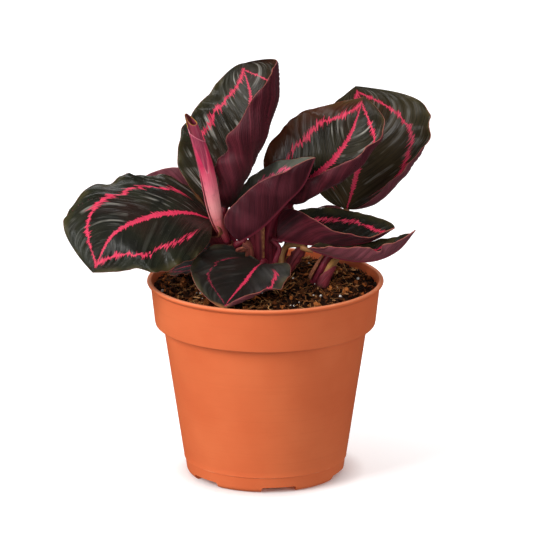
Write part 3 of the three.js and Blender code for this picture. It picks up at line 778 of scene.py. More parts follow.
print("a ring keeps its place over", STROKE, "mm of vein")

# %% The colours of the upper face
NEAR_BLACK = tone(29, 29, 24)
DARK_GREEN = tone(43, 43, 32)
DARK_BROWN = tone(52, 31, 26)
OLD_BROWN = tone(92, 72, 44)
VEIN_SHEEN = tone(72, 66, 58)
VEIN_SHADOW = tone(12, 12, 11)
OUTER_GREEN = tone(44, 48, 34)
PAINTED_SHEEN = tone(136, 142, 128)
GLINT = tone(172, 168, 158)
GLOW_THROUGH = tone(104, 42, 22)
DULL = tone(24, 17, 17)
DUST = tone(140, 138, 130)
PINK = tone(236, 52, 92)
DEEP_PINK = tone(176, 28, 62)
LIGHT_PINK = tone(248, 118, 138)
FADED_PINK = tone(120, 24, 48)
PINK_UNDER_SHEEN = tone(255, 110, 145)
MIDRIB_RIBS = tone(128, 20, 44)
MIDRIB_RIB_WIDTH = 0.62  # millimetres from rib to rib
OLIVE = tone(92, 82, 46)
ROSE_RIM = tone(168, 100, 84)
DRIED = tone(158, 100, 52)
VEIN_SPACING = 1.15  # from one fine vein to the next


def uneven_rim(paint, edge, along, grain):
    """The distance to the margin, a little uneven, so that no line along it looks ruled."""
    return edge + cloud(paint, point(paint, along * 60, grain), 1.0) * 0.5


def blade_color(paint, place, vein, rib, edge, ring, grain, streaks, lines):
    """The blade's dark, without its pink: clouds, veins, painted sheen, glints and glow, and dust."""
    brown, dull, grey, glow, glinting = read(paint, "brown", "dull", "grey", "glow", "glinting")
    patches = cloud(paint, place, 0.06, 3)
    color = mix(paint, NEAR_BLACK, DARK_GREEN, patches.rises(0.42, 0.68))
    color = mix(paint, color, DARK_BROWN, cloud(paint, place, 0.045).rises(0.5, 0.72) * 0.8)
    color = mix(paint, color, OLD_BROWN, brown * (streaks.rises(0.3, 0.7) * 0.5 + patches * 0.4))
    # greyish streaks of painted sheen along the veins
    color = mix(paint, color, VEIN_SHEEN, streaks.rises(0.55, 0.8) * 0.4)
    color = mix(paint, color, VEIN_SHADOW, lines.rises(0.5, 0.75) * 0.6)
    color = mix(paint, color, OUTER_GREEN, ring.rises(0.5, 6) * 0.35)
    # a grey painted sheen over the blade, where the leaf has one
    color = mix(paint, color, PAINTED_SHEEN, grey * (0.45 + streaks * 0.5))
    # painted highlights: short broken glints on the crests of the pleats
    glints = streaky(paint, vein * 0.3, rib, grain + 5, 1.0, 0.03).rises(0.54, 0.62)
    glints = glints * lines.rises(0.3, 0.5) * cloud(paint, place, 0.11, 1).rises(0.42, 0.58)
    color = mix(paint, color, GLINT, glints * glinting * rib.rises(1, 5) * edge.rises(2, 8))
    # a red-brown painted glow of light shining through near the margin
    color = mix(paint, color, GLOW_THROUGH, glow * (1 - edge.rises(1, 13)) * (streaks * 0.5 + 0.35))
    color = mix(paint, color, DULL, dull * 0.7)
    dust = cloud(paint, place, 1.3, 4, 0.7).rises(0.66, 0.76)
    return mix(paint, color, DUST, dust * 0.22)


print("near black is", [round(value, 4) for value in NEAR_BLACK[:3]], "in linear light")

# %% The upper face
def upper_face():
    """The whole skin: the dark blade, the pink over it, the margin's olive and rose, and dry ends."""
    paint = Paint("leaf_upper")
    vein, grain, ring, rib, edge, along = read(paint, "vein", "grain", "ring", "rib", "edge", "along")
    dry, faded, dull, grey, size = read(paint, "dry", "faded", "dull", "grey", "size")
    place = millimetres(paint)
    streaks = streaky(paint, vein, rib, grain, 0.9, 0.07, 3, 0.6)
    lines = streaky(paint, vein, rib, grain, 3.2, 0.03, 2, 0.6)
    color = blade_color(paint, place, vein, rib, edge, ring, grain, streaks, lines)
    pink = mix(paint, PINK, DEEP_PINK, streaks.rises(0.45, 0.6) * 0.7)
    pink = mix(paint, pink, LIGHT_PINK, lines.rises(0.55, 0.75) * 0.5)
    pink = mix(paint, pink, FADED_PINK, faded * ring.rises(-2.6, -1.8) * 0.85)
    # the grey painted sheen lightens the pink too
    pink = mix(paint, pink, PINK_UNDER_SHEEN, grey)
    feathered = pink_ring(paint, vein, grain, ring, along, faded, size)
    midrib = pink_midrib(paint, vein, grain, rib, along, size)
    band = feathered.larger(midrib)
    color = mix(paint, color, pink, band)
    ribbed = (rib / MIDRIB_RIB_WIDTH).wave().rises(0.55, 1)
    color = mix(paint, color, MIDRIB_RIBS, ribbed * midrib * 0.5)
    olive = (1 - edge.rises(0, 4.5)) * cloud(paint, place, 0.09, 2).rises(0.4, 0.6)
    color = mix(paint, color, OLIVE, olive * 0.6)
    rim = uneven_rim(paint, edge, along, grain)
    color = mix(paint, color, ROSE_RIM, 1 - rim.rises(0.3, 0.5))
    color = mix(paint, color, DRIED, dry)
    veined = (vein / VEIN_SPACING + streaks).wave()
    height = veined * 0.3 + lines * 0.2 + cloud(paint, place, 3.5, 3) * 0.05
    return paint.set(
        Base_Color=color,
        Roughness=0.17 + streaks * 0.12 + band * 0.12 + dry * 0.25 + dull * 0.4,
        Normal=relief(paint, height, 0.08),
        Specular_IOR_Level=0.6,
    )


leaf_upper = upper_face()
print("the upper face is painted with", len(leaf_upper.node_tree.nodes), "nodes")

# %% [markdown]
# ### The back and the margin
#
# The back of a leaf is burgundy with a satin sheen, from the shader's sheen and from lighter rose
# patches of painted sheen, and it is crossed by the same side veins, here slightly raised. Some
# leaves are paler behind than the rest. The margin is a thin line of tan to rose, which is easy to
# miss and does a lot to separate one dark leaf from the next.

# %% The back and the margin
WINE = tone(72, 20, 29)
BURGUNDY = tone(120, 42, 56)
BAND_SHADOW = tone(52, 14, 24)
PALE_ROSE = tone(154, 90, 100)
DEEP_WINE = tone(50, 14, 24)
LINE_WINE = tone(50, 15, 25)
PAINTED_SHEEN_ROSE = tone(142, 66, 80)
BACK_MIDRIB = tone(132, 44, 62)
BACK_RIM = tone(158, 84, 76)
BACK_DRIED = tone(150, 100, 58)
MARGIN_TAN = tone(172, 106, 82)
MARGIN_ROSE = tone(158, 70, 72)


def back_face():
    """Burgundy in bands and lines along the side veins, with a lighter midrib."""
    paint = Paint("leaf_back")
    vein, grain, rib, edge, along = read(paint, "vein", "grain", "rib", "edge", "along")
    pale, dry = read(paint, "pale", "dry")
    place = millimetres(paint)
    streaks = streaky(paint, vein, rib, grain, 0.8, 0.06, 3, 0.6)
    lines = streaky(paint, vein, rib, grain, 2.6, 0.02)
    bands = streaky(paint, vein * 0.3, rib, grain, 0.9, 0.02)
    color = mix(paint, WINE, BURGUNDY, streaks.rises(0.35, 0.75))
    color = mix(paint, color, BAND_SHADOW, bands.rises(0.45, 0.62) * 0.6)
    color = mix(paint, color, PALE_ROSE, pale * (0.3 + streaks * 0.6))
    color = mix(paint, color, DEEP_WINE, (-pale).clamped() * 0.7)
    color = mix(paint, color, LINE_WINE, lines.rises(0.5, 0.7) * 0.5)
    # lighter rose patches of painted sheen
    color = mix(paint, color, PAINTED_SHEEN_ROSE, cloud(paint, place, 0.05).rises(0.5, 0.75) * 0.3)
    color = mix(paint, color, BACK_MIDRIB, 1 - rib.rises(0.7, 1.5))
    rim = uneven_rim(paint, edge, along, grain)
    color = mix(paint, color, BACK_RIM, 1 - rim.rises(0.35, 0.6))
    color = mix(paint, color, BACK_DRIED, dry)
    height = (vein / VEIN_SPACING).wave() * 0.4 + lines * 0.3 + cloud(paint, place, 2.5, 3) * 0.12
    return paint.set(
        Base_Color=color,
        Roughness=0.36 + streaks * 0.2,
        Normal=relief(paint, height, 0.1),
        Sheen_Weight=0.06,
        Sheen_Roughness=0.4,
    )


def margin():
    """The cut edge all round, tan with spots of rose."""
    paint = Paint("leaf_margin")
    spots = cloud(paint, millimetres(paint), 0.25, 3)
    color = mix(paint, MARGIN_TAN, MARGIN_ROSE, spots.rises(0.4, 0.62))
    return paint.set(Base_Color=color, Roughness=0.5)


leaf_paints = [leaf_upper, back_face(), margin()]
print("leaf materials:", [paint.name for paint in leaf_paints])

# %% Growing the leaves
for seed, (name, leaf) in enumerate(LEAVES.items()):
    points, faces, stored, paint_of = make_blade(leaf, seed, SKINS.get(name, {}))
    make_piece(name + "_blade", points, faces, leaf_paints, stored, paint_of, name)
print("leaves grown:", len(LEAVES))

# %% [markdown]
# ## The furled leaf
#
# A new leaf comes up rolled like a scroll, and it is much pinker than an open one because only its
# back shows. It is one sheet on a spiral: its outer turn stops lower than its core, and its top is
# cut on a slant, so the spiral and its golden edge show. A notch in the outer turn bares the core.

# %% The spiral and its cut edge
FURL = dict(
    route=((-19.5, -5.5, 122.5), (-24.5, -10, 137), (-29.5, -14, 162.5), (-38, -15.5, 191)),
    outer=(2, 3.9, 2.8),  # radius of the outer turn, at the base, middle and top
)
FURL_TURNS = 2.3
FURL_PITCH = 0.55  # how much one turn adds to the radius
FURL_SHEET = 0.36  # thickness
FURL_START = -183  # degrees, from the front towards +X, where the core begins
FURL_ROWS = 110
FURL_COLUMNS = 210
FURL_RADIUS = 3  # a middle radius, by which angles are turned into lengths
WRAP_RADIUS = 3.6  # the same for the outer turn
OUTER_STARTS = 1 - 1 / FURL_TURNS  # share across the sheet where its outer turn starts
CORE_REACH = (0.915, 1)  # how far up the route the core ends, at its low side and at its point
CORE_POINT = -125  # degrees, where that point is
WRAP_REACH = 0.82  # how far up the outer turn ends
WRAP_SLANT = 0.045
WRAP_POINT = -80
LOOSE_STARTS = 0.93  # share across the sheet where its outer edge hangs loose
LOOSE_REACH = 0.55  # how far up that edge ends
FLARE = 0.5  # how far it stands off
NOTCH_TURN = 366  # where on the outer turn its notch is
NOTCH_WIDTH = 62  # degrees from the notch's point to either side at its top
NOTCH_BOTTOM = 0.56  # place of its point along the leaf
NOTCH_TOP = 0.84
NOTCH_DEPTH = 0.22  # how far the sheet is pressed in there
FAR_FROM_NOTCH = -9.0  # stored where there is no notch


def furl_reach(share, angle):
    """How far up the leaf each part of the spiral reaches: a core with a slanted point, a lower
    outer turn, and a loose outer edge that ends lower still."""
    low, high = CORE_REACH
    tip = 0.5 + 0.5 * np.cos(np.radians(angle - CORE_POINT))
    core = low + (high - low) * tip**1.6
    wrap = WRAP_REACH + WRAP_SLANT * np.cos(np.radians(angle - WRAP_POINT))
    to_wrap = ramp(share, OUTER_STARTS - 0.02, OUTER_STARTS)
    loose = ramp(share, LOOSE_STARTS, LOOSE_STARTS + 0.04) ** 2
    reach = core + (wrap - core) * to_wrap
    return reach + (LOOSE_REACH - reach) * loose


def furl_notch(share, angle, t):
    """Millimetres inside the notch through which the core shows on the outer turn."""
    half = NOTCH_WIDTH * np.clip((t - NOTCH_BOTTOM) / (NOTCH_TOP - NOTCH_BOTTOM), 0, 2) ** 0.85
    inside = np.radians(half - np.abs(angle - NOTCH_TURN)) * WRAP_RADIUS
    return np.where((share > OUTER_STARTS) & (t > NOTCH_BOTTOM), inside, FAR_FROM_NOTCH)


def frames_along(route, shares):
    """The centre, front and right-hand directions at places along a route."""
    ahead = route.ahead(shares)
    front = square_to(np.broadcast_to([0.0, -1.0, 0.0], ahead.shape), ahead)
    return route.at(shares), front, np.cross(ahead, front)


def around(frames, radius, angle):
    """Points at a radius and an angle round a route, from its front towards its right."""
    centre, front, right = frames
    return (centre + front * (radius * np.cos(angle))[..., None]
            + right * (radius * np.sin(angle))[..., None])


def furl_points(offset):
    """The sheet, moved off its middle by an offset, and the numbers stored on it."""
    route = Route(FURL["route"])
    share = np.linspace(0, 1, FURL_COLUMNS)[None, :]
    row = np.linspace(0, 1, FURL_ROWS)[:, None]
    angle = FURL_START + 360 * FURL_TURNS * share
    reach = furl_reach(share, angle)
    t = row * reach
    rising = np.sin(np.pi * np.clip(t / NOTCH_BOTTOM, 0, 1))
    flare = FLARE * ramp(share, 0.95, 1) * rising
    notch = furl_notch(share, angle, t)
    radius = blend(FURL["outer"], t) - FURL_PITCH * FURL_TURNS * (1 - share) + offset + flare
    radius = radius - NOTCH_DEPTH * np.clip(0.5 + notch / 0.4, 0, 1)
    arc_steps = np.radians(np.gradient(angle[0])) * FURL_RADIUS
    steepness = np.gradient(reach[0]) * route.length / arc_steps
    from_edge = (reach - t) * route.length / np.sqrt(1 + steepness**2)
    points = around(frames_along(route, t), radius, np.radians(np.broadcast_to(angle, t.shape)))
    return points, dict(along=t, share=np.broadcast_to(share, t.shape), top=from_edge, notch=notch)


print("the sheet makes", FURL_TURNS, "turns, its outer one from", round(OUTER_STARTS, 2), "of its width")

# %% The furled leaf
FURL_FOOT = tone(150, 40, 60)
FURL_TONES = (  # where along the leaf each tone sets in, and where it is full
    (0.02, 0.14, tone(210, 98, 100)),
    # pale salmon: partly the scroll's own tone and partly a painted highlight
    (0.14, 0.28, tone(244, 156, 158)),
    (0.32, 0.48, tone(236, 112, 134)),
    (0.48, 0.62, tone(214, 52, 94)),
    (0.7, 0.82, tone(172, 62, 92)),
)
CORE_PURPLE = tone(146, 52, 78)
CORE_TOP = tone(172, 62, 92)
NOTCH_PINK = tone(240, 140, 158)
LIGHT_FLECK = tone(244, 160, 160)
DARK_FLECK = tone(150, 34, 66)
PLUM_PATCH = tone(120, 40, 62)
LIP_ROSE = tone(214, 120, 136)
LIP_GOLD = tone(212, 150, 66)
SHADED_HEART = tone(96, 34, 36)


def furl_skin():
    """Salmon below, crimson towards the notch; the core inside is a duller purple."""
    paint = Paint("furl_skin")
    along, share, top, notch = read(paint, "along", "share", "top", "notch")
    place = millimetres(paint)
    fine = cloud(paint, point(paint, share * 60, along * 4), 1.0, 3, 0.6)
    patches = cloud(paint, place, 0.3, 3)
    color = FURL_FOOT
    for start, full, shade in FURL_TONES:
        color = mix(paint, color, shade, along.rises(start, full))
    inner = mix(paint, CORE_PURPLE, CORE_TOP, along.rises(0.82, 0.88))
    beside_notch = (1 - abs(notch).rises(0.1, 0.6)) * along.rises(0.6, 0.55)
    color = mix(paint, color, NOTCH_PINK, beside_notch)
    core = (1 - share.rises(OUTER_STARTS - 0.02, OUTER_STARTS)).larger(notch.rises(-0.1, 0.3) * 0.85)
    color = mix(paint, color, inner, core)
    color = mix(paint, color, LIGHT_FLECK, fine.rises(0.5, 0.72) * 0.35)
    color = mix(paint, color, DARK_FLECK, fine.rises(0.48, 0.3) * 0.35)
    color = mix(paint, color, PLUM_PATCH, patches.rises(0.55, 0.75) * 0.3)
    lip = 1 - top.rises(0.1, 0.35)
    color = mix(paint, color, LIP_ROSE, lip * along.rises(0.9, 0.88))
    color = mix(paint, color, LIP_GOLD, lip * along.rises(0.9, 0.92))
    # painted shade deep inside the spiral, on its innermost turns
    color = mix(paint, color, SHADED_HEART, core * share.rises(0.3, 0.1))
    height = fine + cloud(paint, place, 2.2, 2) * 0.4
    return paint.set(Base_Color=color, Roughness=0.34, Normal=relief(paint, height, 0.08))


outside, stored = furl_points(FURL_SHEET / 2)
inside, _ = furl_points(-FURL_SHEET / 2)
points, faces, stored = two_faced(outside, inside, stored)
make_piece("leaf_rolled_scroll", points, faces, [furl_skin()], stored, None, "leaf_rolled")
print("the scroll is", round(Route(FURL["route"]).length), "mm long")

# %% [markdown]
# ## Stalks
#
# A calathea has no stem above the soil: each leaf stands on its own stalk, crimson and finely
# ribbed, which ends in a short swollen joint that turns the leaf to the light. The stalk meets the
# midrib end to end, so its route ends with two points read off the leaf's own route.

# %% The routes of the stalks
# For each stalk: its leaf (the furled shoot is a stalk of its own), its route from inside the soil
# upwards, its radius at the base, middle and top, and how brown-green it is above its foot.
STALKS = dict(
    stalk_left=dict(
        leaf="leaf_left",
        route=((-14.5, 4.5, 94), (-15, 4.5, 105.5), (-19, 4, 117), (-24, 0.5, 128)),
        radius=(2.6, 2.3, 1.6),
    ),
    stalk_tall=dict(
        leaf="leaf_tall",
        route=((-12, 12.5, 94), (-13, 11, 105.5), (-17, 8, 119.5), (-19.5, 6, 129.5)),
        radius=(2.8, 2.3, 1.7),
    ),
    stalk_rolled=dict(
        leaf="leaf_rolled",
        route=((-15.5, -3.5, 94), (-16, -2.5, 107)),
        radius=(2.3, 2.3, 2),
    ),
    stalk_folded=dict(
        leaf="leaf_folded",
        route=((-8.5, -2.5, 94), (-8.5, -3, 105), (-9.5, -6, 114), (-11, -9.5, 120)),
        radius=(2.4, 2, 1.5),
    ),
    stalk_broad=dict(
        leaf="leaf_broad",
        route=((0.5, 4, 94), (1, 4, 104), (1.5, 4, 118.5), (3.5, 3, 130.5), (7.5, 1, 137.5)),
        radius=(3.9, 3.8, 1.8),
    ),
    stalk_rear_right=dict(
        leaf="leaf_rear_right",
        route=(
            (28, -14.5, 92), (28.5, -14, 101), (32.5, -12.5, 110.5), (36.5, -5, 114.5), (39.5, 11, 121),
        ),
        radius=(2.2, 1.7, 1.7),
        brown=1,
    ),
    stalk_side_upper=dict(
        leaf="leaf_side_upper",
        route=((3.5, -7.5, 94), (4, -7, 107.5), (5.5, -6, 113.5), (7, -4, 118.5)),
        radius=(2, 1.3, 1.2),
    ),
    stalk_side_lower=dict(
        leaf="leaf_side_lower",
        route=(
            (8, -0.5, 94), (8, 0, 107), (8.5, 1, 114), (11, 1.5, 118), (17, 0, 119), (20, -6, 119.2),
        ),
        radius=(2, 1.4, 1.2),
        brown=0.9,
    ),
    stalk_front=dict(
        leaf="leaf_front",
        route=((0, -4.5, 94), (0, -5, 104)),
        radius=(1.8, 1.6, 1.4),
    ),
    stalk_rear_left=dict(
        leaf="leaf_rear_left",
        route=((-18, 16, 94), (-18, 15, 104.5), (-20, 12, 114.5), (-23, 10, 122)),
        radius=(2.2, 1.9, 1.5),
    ),
    stalk_ground=dict(
        leaf="leaf_ground",
        route=((-20.5, 7, 94), (-20.5, 7, 106)),
        radius=(1.8, 1.6, 1.2),
    ),
    stalk_rear_small=dict(
        leaf="leaf_rear_small",
        route=((8.5, 14, 94), (8.5, 14, 106), (10, 14, 112)),
        radius=(1.8, 1.6, 1.3),
    ),
    stalk_rear=dict(
        leaf="leaf_rear",
        route=((3.5, 13, 94), (3.5, 13, 106), (4.5, 13, 112)),
        radius=(1.8, 1.6, 1.3),
    ),
    shoot_furled=dict(
        route=((24.5, -7, 92), (25.5, -7, 101), (28.5, -7.5, 108), (32.5, -8, 116)),
        radius=(3, 3, 2.2),
    ),
)
STALK_TURN = 3  # distance behind a leaf's base where its stalk is in line with the midrib
END_REACH = 2.5  # how far a stalk runs on under its midrib
FURL_END_REACH = 0.3  # and into the furled leaf
END_DEPTH = 1.2  # how far the end of a stalk lies behind the face of its leaf
JOINT_DEPTH = 0.7  # the same at the swollen joint, as a share


def stalk_route(stalk):
    """The stalk's route, with the points that bring it in line with its leaf's midrib."""
    leaf = stalk.get("leaf")
    if leaf is None:
        return Route(stalk["route"])
    midrib = Route(FURL["route"] if leaf == "leaf_rolled" else LEAVES[leaf]["rib"])
    start, ahead = midrib.at(0.0), midrib.ahead(0.0)
    if leaf == "leaf_rolled":
        return Route([*stalk["route"], start - ahead * STALK_TURN, start + ahead * FURL_END_REACH])
    behind = square_to(np.array(LEAVES[leaf]["face"][0], float), ahead) * END_DEPTH
    joint = start - ahead * STALK_TURN - behind * JOINT_DEPTH
    return Route([*stalk["route"], joint, start + ahead * END_REACH - behind])


longest = max(stalk_route(stalk).length for stalk in STALKS.values())
print(len(STALKS), "stalks, the longest", round(longest), "mm")

# %% The stalks
STALK_ROWS = 70
STALK_SIDES = 36
STALK_RIBS = 9
RIB_HEIGHT = 0.028  # as a share of the stalk's radius
FINE_RIBS = 17
FINE_RIB_HEIGHT = 0.015
JOINT_PLACE = 0.86  # share of the stalk's length
JOINT_LENGTH = 0.05
JOINT_SWELLING = 0.14
END_TAPER = 0.45  # how much the stalk loses where it runs out under the midrib
STALK_WINE = tone(96, 22, 38)
STALK_CRIMSON = tone(142, 40, 60)
STALK_SHADOW = tone(62, 16, 26)
STALK_ROSE = tone(170, 60, 78)
OLD_GREEN_BROWN = tone(128, 88, 50)
OLD_STRAW = tone(168, 124, 72)
JOINT_WINE = tone(96, 20, 34)
SOILED = tone(58, 34, 24)


def stalk_points(stalk):
    """Rings of points up a finely ribbed stalk, and their places along and round it."""
    t = np.linspace(0, 1, STALK_ROWS)[:, None]
    angle = np.linspace(0, 2 * np.pi, STALK_SIDES, endpoint=False)[None, :]
    radius = blend(stalk["radius"], t)
    if stalk.get("leaf") not in (None, "leaf_rolled"):
        joint = np.exp(-(((t - JOINT_PLACE) / JOINT_LENGTH) ** 2))
        taper = 1 - END_TAPER * ramp(t, 0.95, 1)
        radius = radius * (1 + JOINT_SWELLING * joint) * taper
    ribs = RIB_HEIGHT * np.cos(STALK_RIBS * angle + 2.5 * t)
    ribs = ribs + FINE_RIB_HEIGHT * np.cos(FINE_RIBS * angle - 4 * t)
    shape = radius * (1 + ribs * np.clip((0.85 - t) / 0.2, 0.15, 1))
    t, angle = (np.broadcast_to(values, shape.shape) for values in (t, angle))
    return around(frames_along(stalk_route(stalk), t), shape, angle), t, angle / (2 * np.pi)


def stalk_skin():
    """Crimson stripes, brown-green where a stalk is old, and soiled at its foot."""
    paint = Paint("stalk_skin")
    along, turn, brown, seed = read(paint, "along", "turn", "brown", "seed")
    place = millimetres(paint)
    stripes = cloud(paint, point(paint, turn * 16, along * 2.2, seed), 1.0, 3, 0.6)
    color = mix(paint, STALK_WINE, STALK_CRIMSON, stripes.rises(0.35, 0.7))
    color = mix(paint, color, STALK_SHADOW, cloud(paint, place, 0.18, 3).rises(0.5, 0.75) * 0.6)
    color = mix(paint, color, STALK_ROSE, stripes.rises(0.62, 0.8) * 0.4)
    browner = mix(paint, OLD_GREEN_BROWN, OLD_STRAW, stripes)
    color = mix(paint, color, browner, brown * (along.rises(0.16, 0.3)))
    color = mix(paint, color, JOINT_WINE, along.rises(0.78, 0.84) * (1 - brown))
    color = mix(paint, color, SOILED, (0.2 - along).rises(0, 0.12) * 0.7)
    height = stripes + cloud(paint, place, 3, 2) * 0.3
    rough = 0.36 + stripes * 0.15
    return paint.set(Base_Color=color, Roughness=rough, Normal=relief(paint, height, 0.1))


skin = stalk_skin()
for seed, (name, stalk) in enumerate(STALKS.items()):
    points, along, turn = stalk_points(stalk)
    brown = np.full(along.shape, stalk.get("brown", 0))
    stored = dict(along=along, turn=turn, brown=brown, seed=np.full(along.shape, seed * 3.7))
    faces = ring_faces(STALK_ROWS, STALK_SIDES)
    make_piece(name + "_stem", points.reshape(-1, 3), faces, [skin], stored, None, name)
print("each stalk has", STALK_ROWS, "rings of", STALK_SIDES, "points")

# %% [markdown]
# ## Sheaths and bracts
#
# At the foot of a stalk the leaf's base wraps it in a papery sheath. It is purple with darker
# stripes, and its free edges have dried to straw. Each one is a part of a tube round its stalk, with
# a ragged upper edge. One more stands loose beside the stalks, folded like a small leaf. The one
# round the left stalk is painted shade: a dark sheet in the sheaths' paint that fills the shade
# between the stalks' feet. The solid model has no sheath on the left stalk, so that one takes no
# solid's place.

# %% The sheaths' places
# For each sheath: the stalk it is round, the shares of the stalk's length where it starts and ends,
# its radius and its width in degrees (at the bottom, middle and top), and the direction its back
# looks, in degrees from the front towards +X. One that hugs its stalk has its edges pressed on to it.
SHEATHS = dict(
    sheath_broad=dict(
        stalk="stalk_broad", shares=(0.2, 0.68), radius=(8, 9.8, 12.2), span=(150, 150, 90),
        looks=-100, hugs=4.3,
    ),
    sheath_rolled=dict(
        stalk="stalk_rolled", shares=(0.34, 0.97), radius=(3, 3, 2.7), span=(230, 180, 90), looks=40,
    ),
    sheath_folded=dict(
        stalk="stalk_folded", shares=(0.3, 1), radius=(3.3, 4.1, 4.9), span=(160, 160, 110),
        looks=75, dry=0.35,
    ),
    sheath_rear_right=dict(
        stalk="stalk_rear_right", shares=(0.14, 0.36), radius=(2.8, 2.6, 2.3), span=(300, 190, 20),
        looks=(15, 45, 80),
    ),
    bract_shoot=dict(
        stalk="shoot_furled", shares=(0.42, 0.97), radius=(4.4, 4.2, 3.4), span=(38, 34, 14),
        looks=-68, dry=0.7,
    ),
    # painted shade: a dark sheet round the left stalk that fills the shade between the stalks' feet
    sheath_left=dict(
        stalk="stalk_left", shares=(0.1, 0.93), radius=(5, 7, 8), span=(180, 170, 150), looks=-75,
    ),
)
LOOSE_SHEATH = dict(
    rib=((9.5, 1, 103.5), (12.5, 0.5, 108.5), (15.5, 0, 113), (18.5, 0, 117), (21, 0, 119.5)),
    face=((5, 6, 4), (5, 6, 4), (5, 6, 4)),
    left=dict(width=4, base=0.3, fold=(40, 40, 30), curl=(40, 40, 30), wave=(0, 0, 0)),
    right=dict(width=4, base=0.3, fold=(40, 40, 30), curl=(40, 40, 30), wave=(0, 0, 0)),
)
print("sheaths and bracts:", len(SHEATHS) + 1)

# %% Sheaths and bracts
SHEATH = 0.5  # thickness
SHEATH_ROWS = 50
SHEATH_COLUMNS = 30
LOOSE_COLUMNS = 12
LOOSE_SEED = 5
FLUTES = 7
FLUTE_DEPTH = 0.09
SHEATH_PURPLE = tone(88, 26, 36)
SHEATH_ROSE = tone(140, 50, 62)
SHEATH_SHADOW = tone(50, 18, 24)
DARK_STRAW = tone(108, 64, 38)
LIGHT_STRAW = tone(184, 128, 80)
SHEATH_SOILED = tone(66, 42, 28)


def sheath_points(sheath, offset, seed):
    """One face of the sheath, its shares along and across."""
    route = stalk_route(STALKS[sheath["stalk"]])
    row = np.linspace(0, 1, SHEATH_ROWS)[:, None]
    across = np.linspace(0, 1, SHEATH_COLUMNS)[None, :]
    ragged = 0.03 * np.sin(9 * across + seed) + 0.02 * np.sin(23 * across + 2 * seed)
    share = row * (0.95 + ragged)
    start, end = sheath["shares"]
    sweep = np.radians(blend(sheath["span"], share))
    looks = np.radians(blend(np.broadcast_to(sheath["looks"], 3), share))
    angle = looks + sweep * (across - 0.5)
    radius = blend(sheath["radius"], share)
    if "hugs" in sheath:
        radius = sheath["hugs"] + (radius - sheath["hugs"]) * np.sin(np.pi * across) ** 0.6
    radius = radius + offset + FLUTE_DEPTH * np.cos(2 * np.pi * FLUTES * across + seed)
    frames = frames_along(route, np.clip(start + (end - start) * share, 0, 1))
    return around(frames, radius, angle), share, np.broadcast_to(across, share.shape)


def sheath_skin():
    """Purple stripes that dry to straw at the rim and where the sheath is old."""
    paint = Paint("sheath_skin")
    along, across, seed, dry = read(paint, "along", "across", "seed", "dry")
    place = millimetres(paint)
    stripes = cloud(paint, point(paint, across * 14, along * 1.2, seed), 1.0, 3, 0.6)
    color = mix(paint, SHEATH_PURPLE, SHEATH_ROSE, stripes.rises(0.35, 0.65))
    color = mix(paint, color, SHEATH_SHADOW, stripes.rises(0.42, 0.3) * 0.7)
    rim = 0.5 - abs(across - 0.5)
    dried = (1 - rim.rises(0.01, 0.06)).larger(along.rises(0.85, 0.98))
    straw = mix(paint, DARK_STRAW, LIGHT_STRAW, cloud(paint, place, 0.8, 3).rises(0.3, 0.7))
    patchy = (dried * cloud(paint, place, 0.35, 2).rises(0.3, 0.6)).larger(dry * stripes.rises(0.3, 0.5))
    color = mix(paint, color, straw, patchy)
    color = mix(paint, color, SHEATH_SOILED, along.rises(0.16, 0) * 0.6)
    height = stripes + cloud(paint, place, 2.5, 3) * 0.5
    rough = 0.5 + stripes * 0.15
    return paint.set(Base_Color=color, Roughness=rough, Normal=relief(paint, height, 0.12))


skin = sheath_skin()
for seed, (name, sheath) in enumerate(SHEATHS.items()):
    outer, along, across = sheath_points(sheath, SHEATH / 2, seed)
    inner, _, _ = sheath_points(sheath, -SHEATH / 2, seed)
    dry = np.full(along.shape, sheath.get("dry", 0))
    stored = dict(along=along, across=across, seed=np.full(along.shape, seed * 2.3), dry=dry)
    points, faces, stored = two_faced(outer, inner, stored)
    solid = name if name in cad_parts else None
    make_piece(name + "_wrap", points, faces, [skin], stored, None, solid)
print("sheaths round a stalk:", len(SHEATHS))

# %% The loose sheath
points, faces, stored, _ = make_blade(
    LOOSE_SHEATH, LOOSE_SEED, dict(pleat=0.1), SHEATH_ROWS, LOOSE_COLUMNS
)
along = stored["along"]
half = np.linspace(0, 1, along.shape[1] // 2)
stored = dict(
    along=along, across=np.tile(np.append(half, half[::-1]), (SHEATH_ROWS, 1)),
    seed=np.full(along.shape, 9.1), dry=np.full(along.shape, 0.05),
)
make_piece("sheath_loose_wrap", points, faces, [skin], stored, None, "sheath_loose")
print("the loose sheath is", round(Route(LOOSE_SHEATH["rib"]).length), "mm long")

# %% [markdown]
# ## The pot
#
# A nursery pot is turned in one go: foot, mould line, plain tapered wall, a wide collar and a
# rounded bead. Six flat channels are then cut across the foot, so that water can run out from the
# holes in them. The plastic is thin and matt, with the faint unevenness of moulding.

# %% The pot's profile
RIM_RADIUS = 60
RIM_TOP = 101.5
BEAD_RADIUS = 0.95  # rounded bead round the rim
LIP = 2.3  # how wide the rim is, seen from above
LIP_ROUNDING = 0.5
COLLAR_BOTTOM = 78.7
COLLAR_RADIUS = 56  # at its bottom edge
COLLAR_TOP_RADIUS = 58.2
COLLAR_ROUNDING = 0.7
LEDGE = 1.3  # thickness of the step under the soil's edge, where body and collar meet
BODY_RADIUS = 41.6  # at the mould line
BODY_SLOPE = 0.148  # outward for each millimetre up
MOULD_LINE = 8.5
MOULD_STEP = 0.45
MOULD_ROUNDING = 0.3
FOOT_RADIUS = 37.4  # where the flat base ends and its rounded edge starts
FOOT_ROUNDING = 3
WALL = 1.4
CHANNELS = 6
CHANNEL_TURN = 10  # degrees of the first one, from the front towards +X
CHANNEL_WIDTH = 17.7
CHANNEL_HEIGHT = 3
CHANNEL_START = 24  # distance from the pot's axis
CHANNEL_ROUNDING = 0.6
DRAIN_RADIUS = 4
DRAIN_PLACE = 31
DRAIN_SIDES = 40
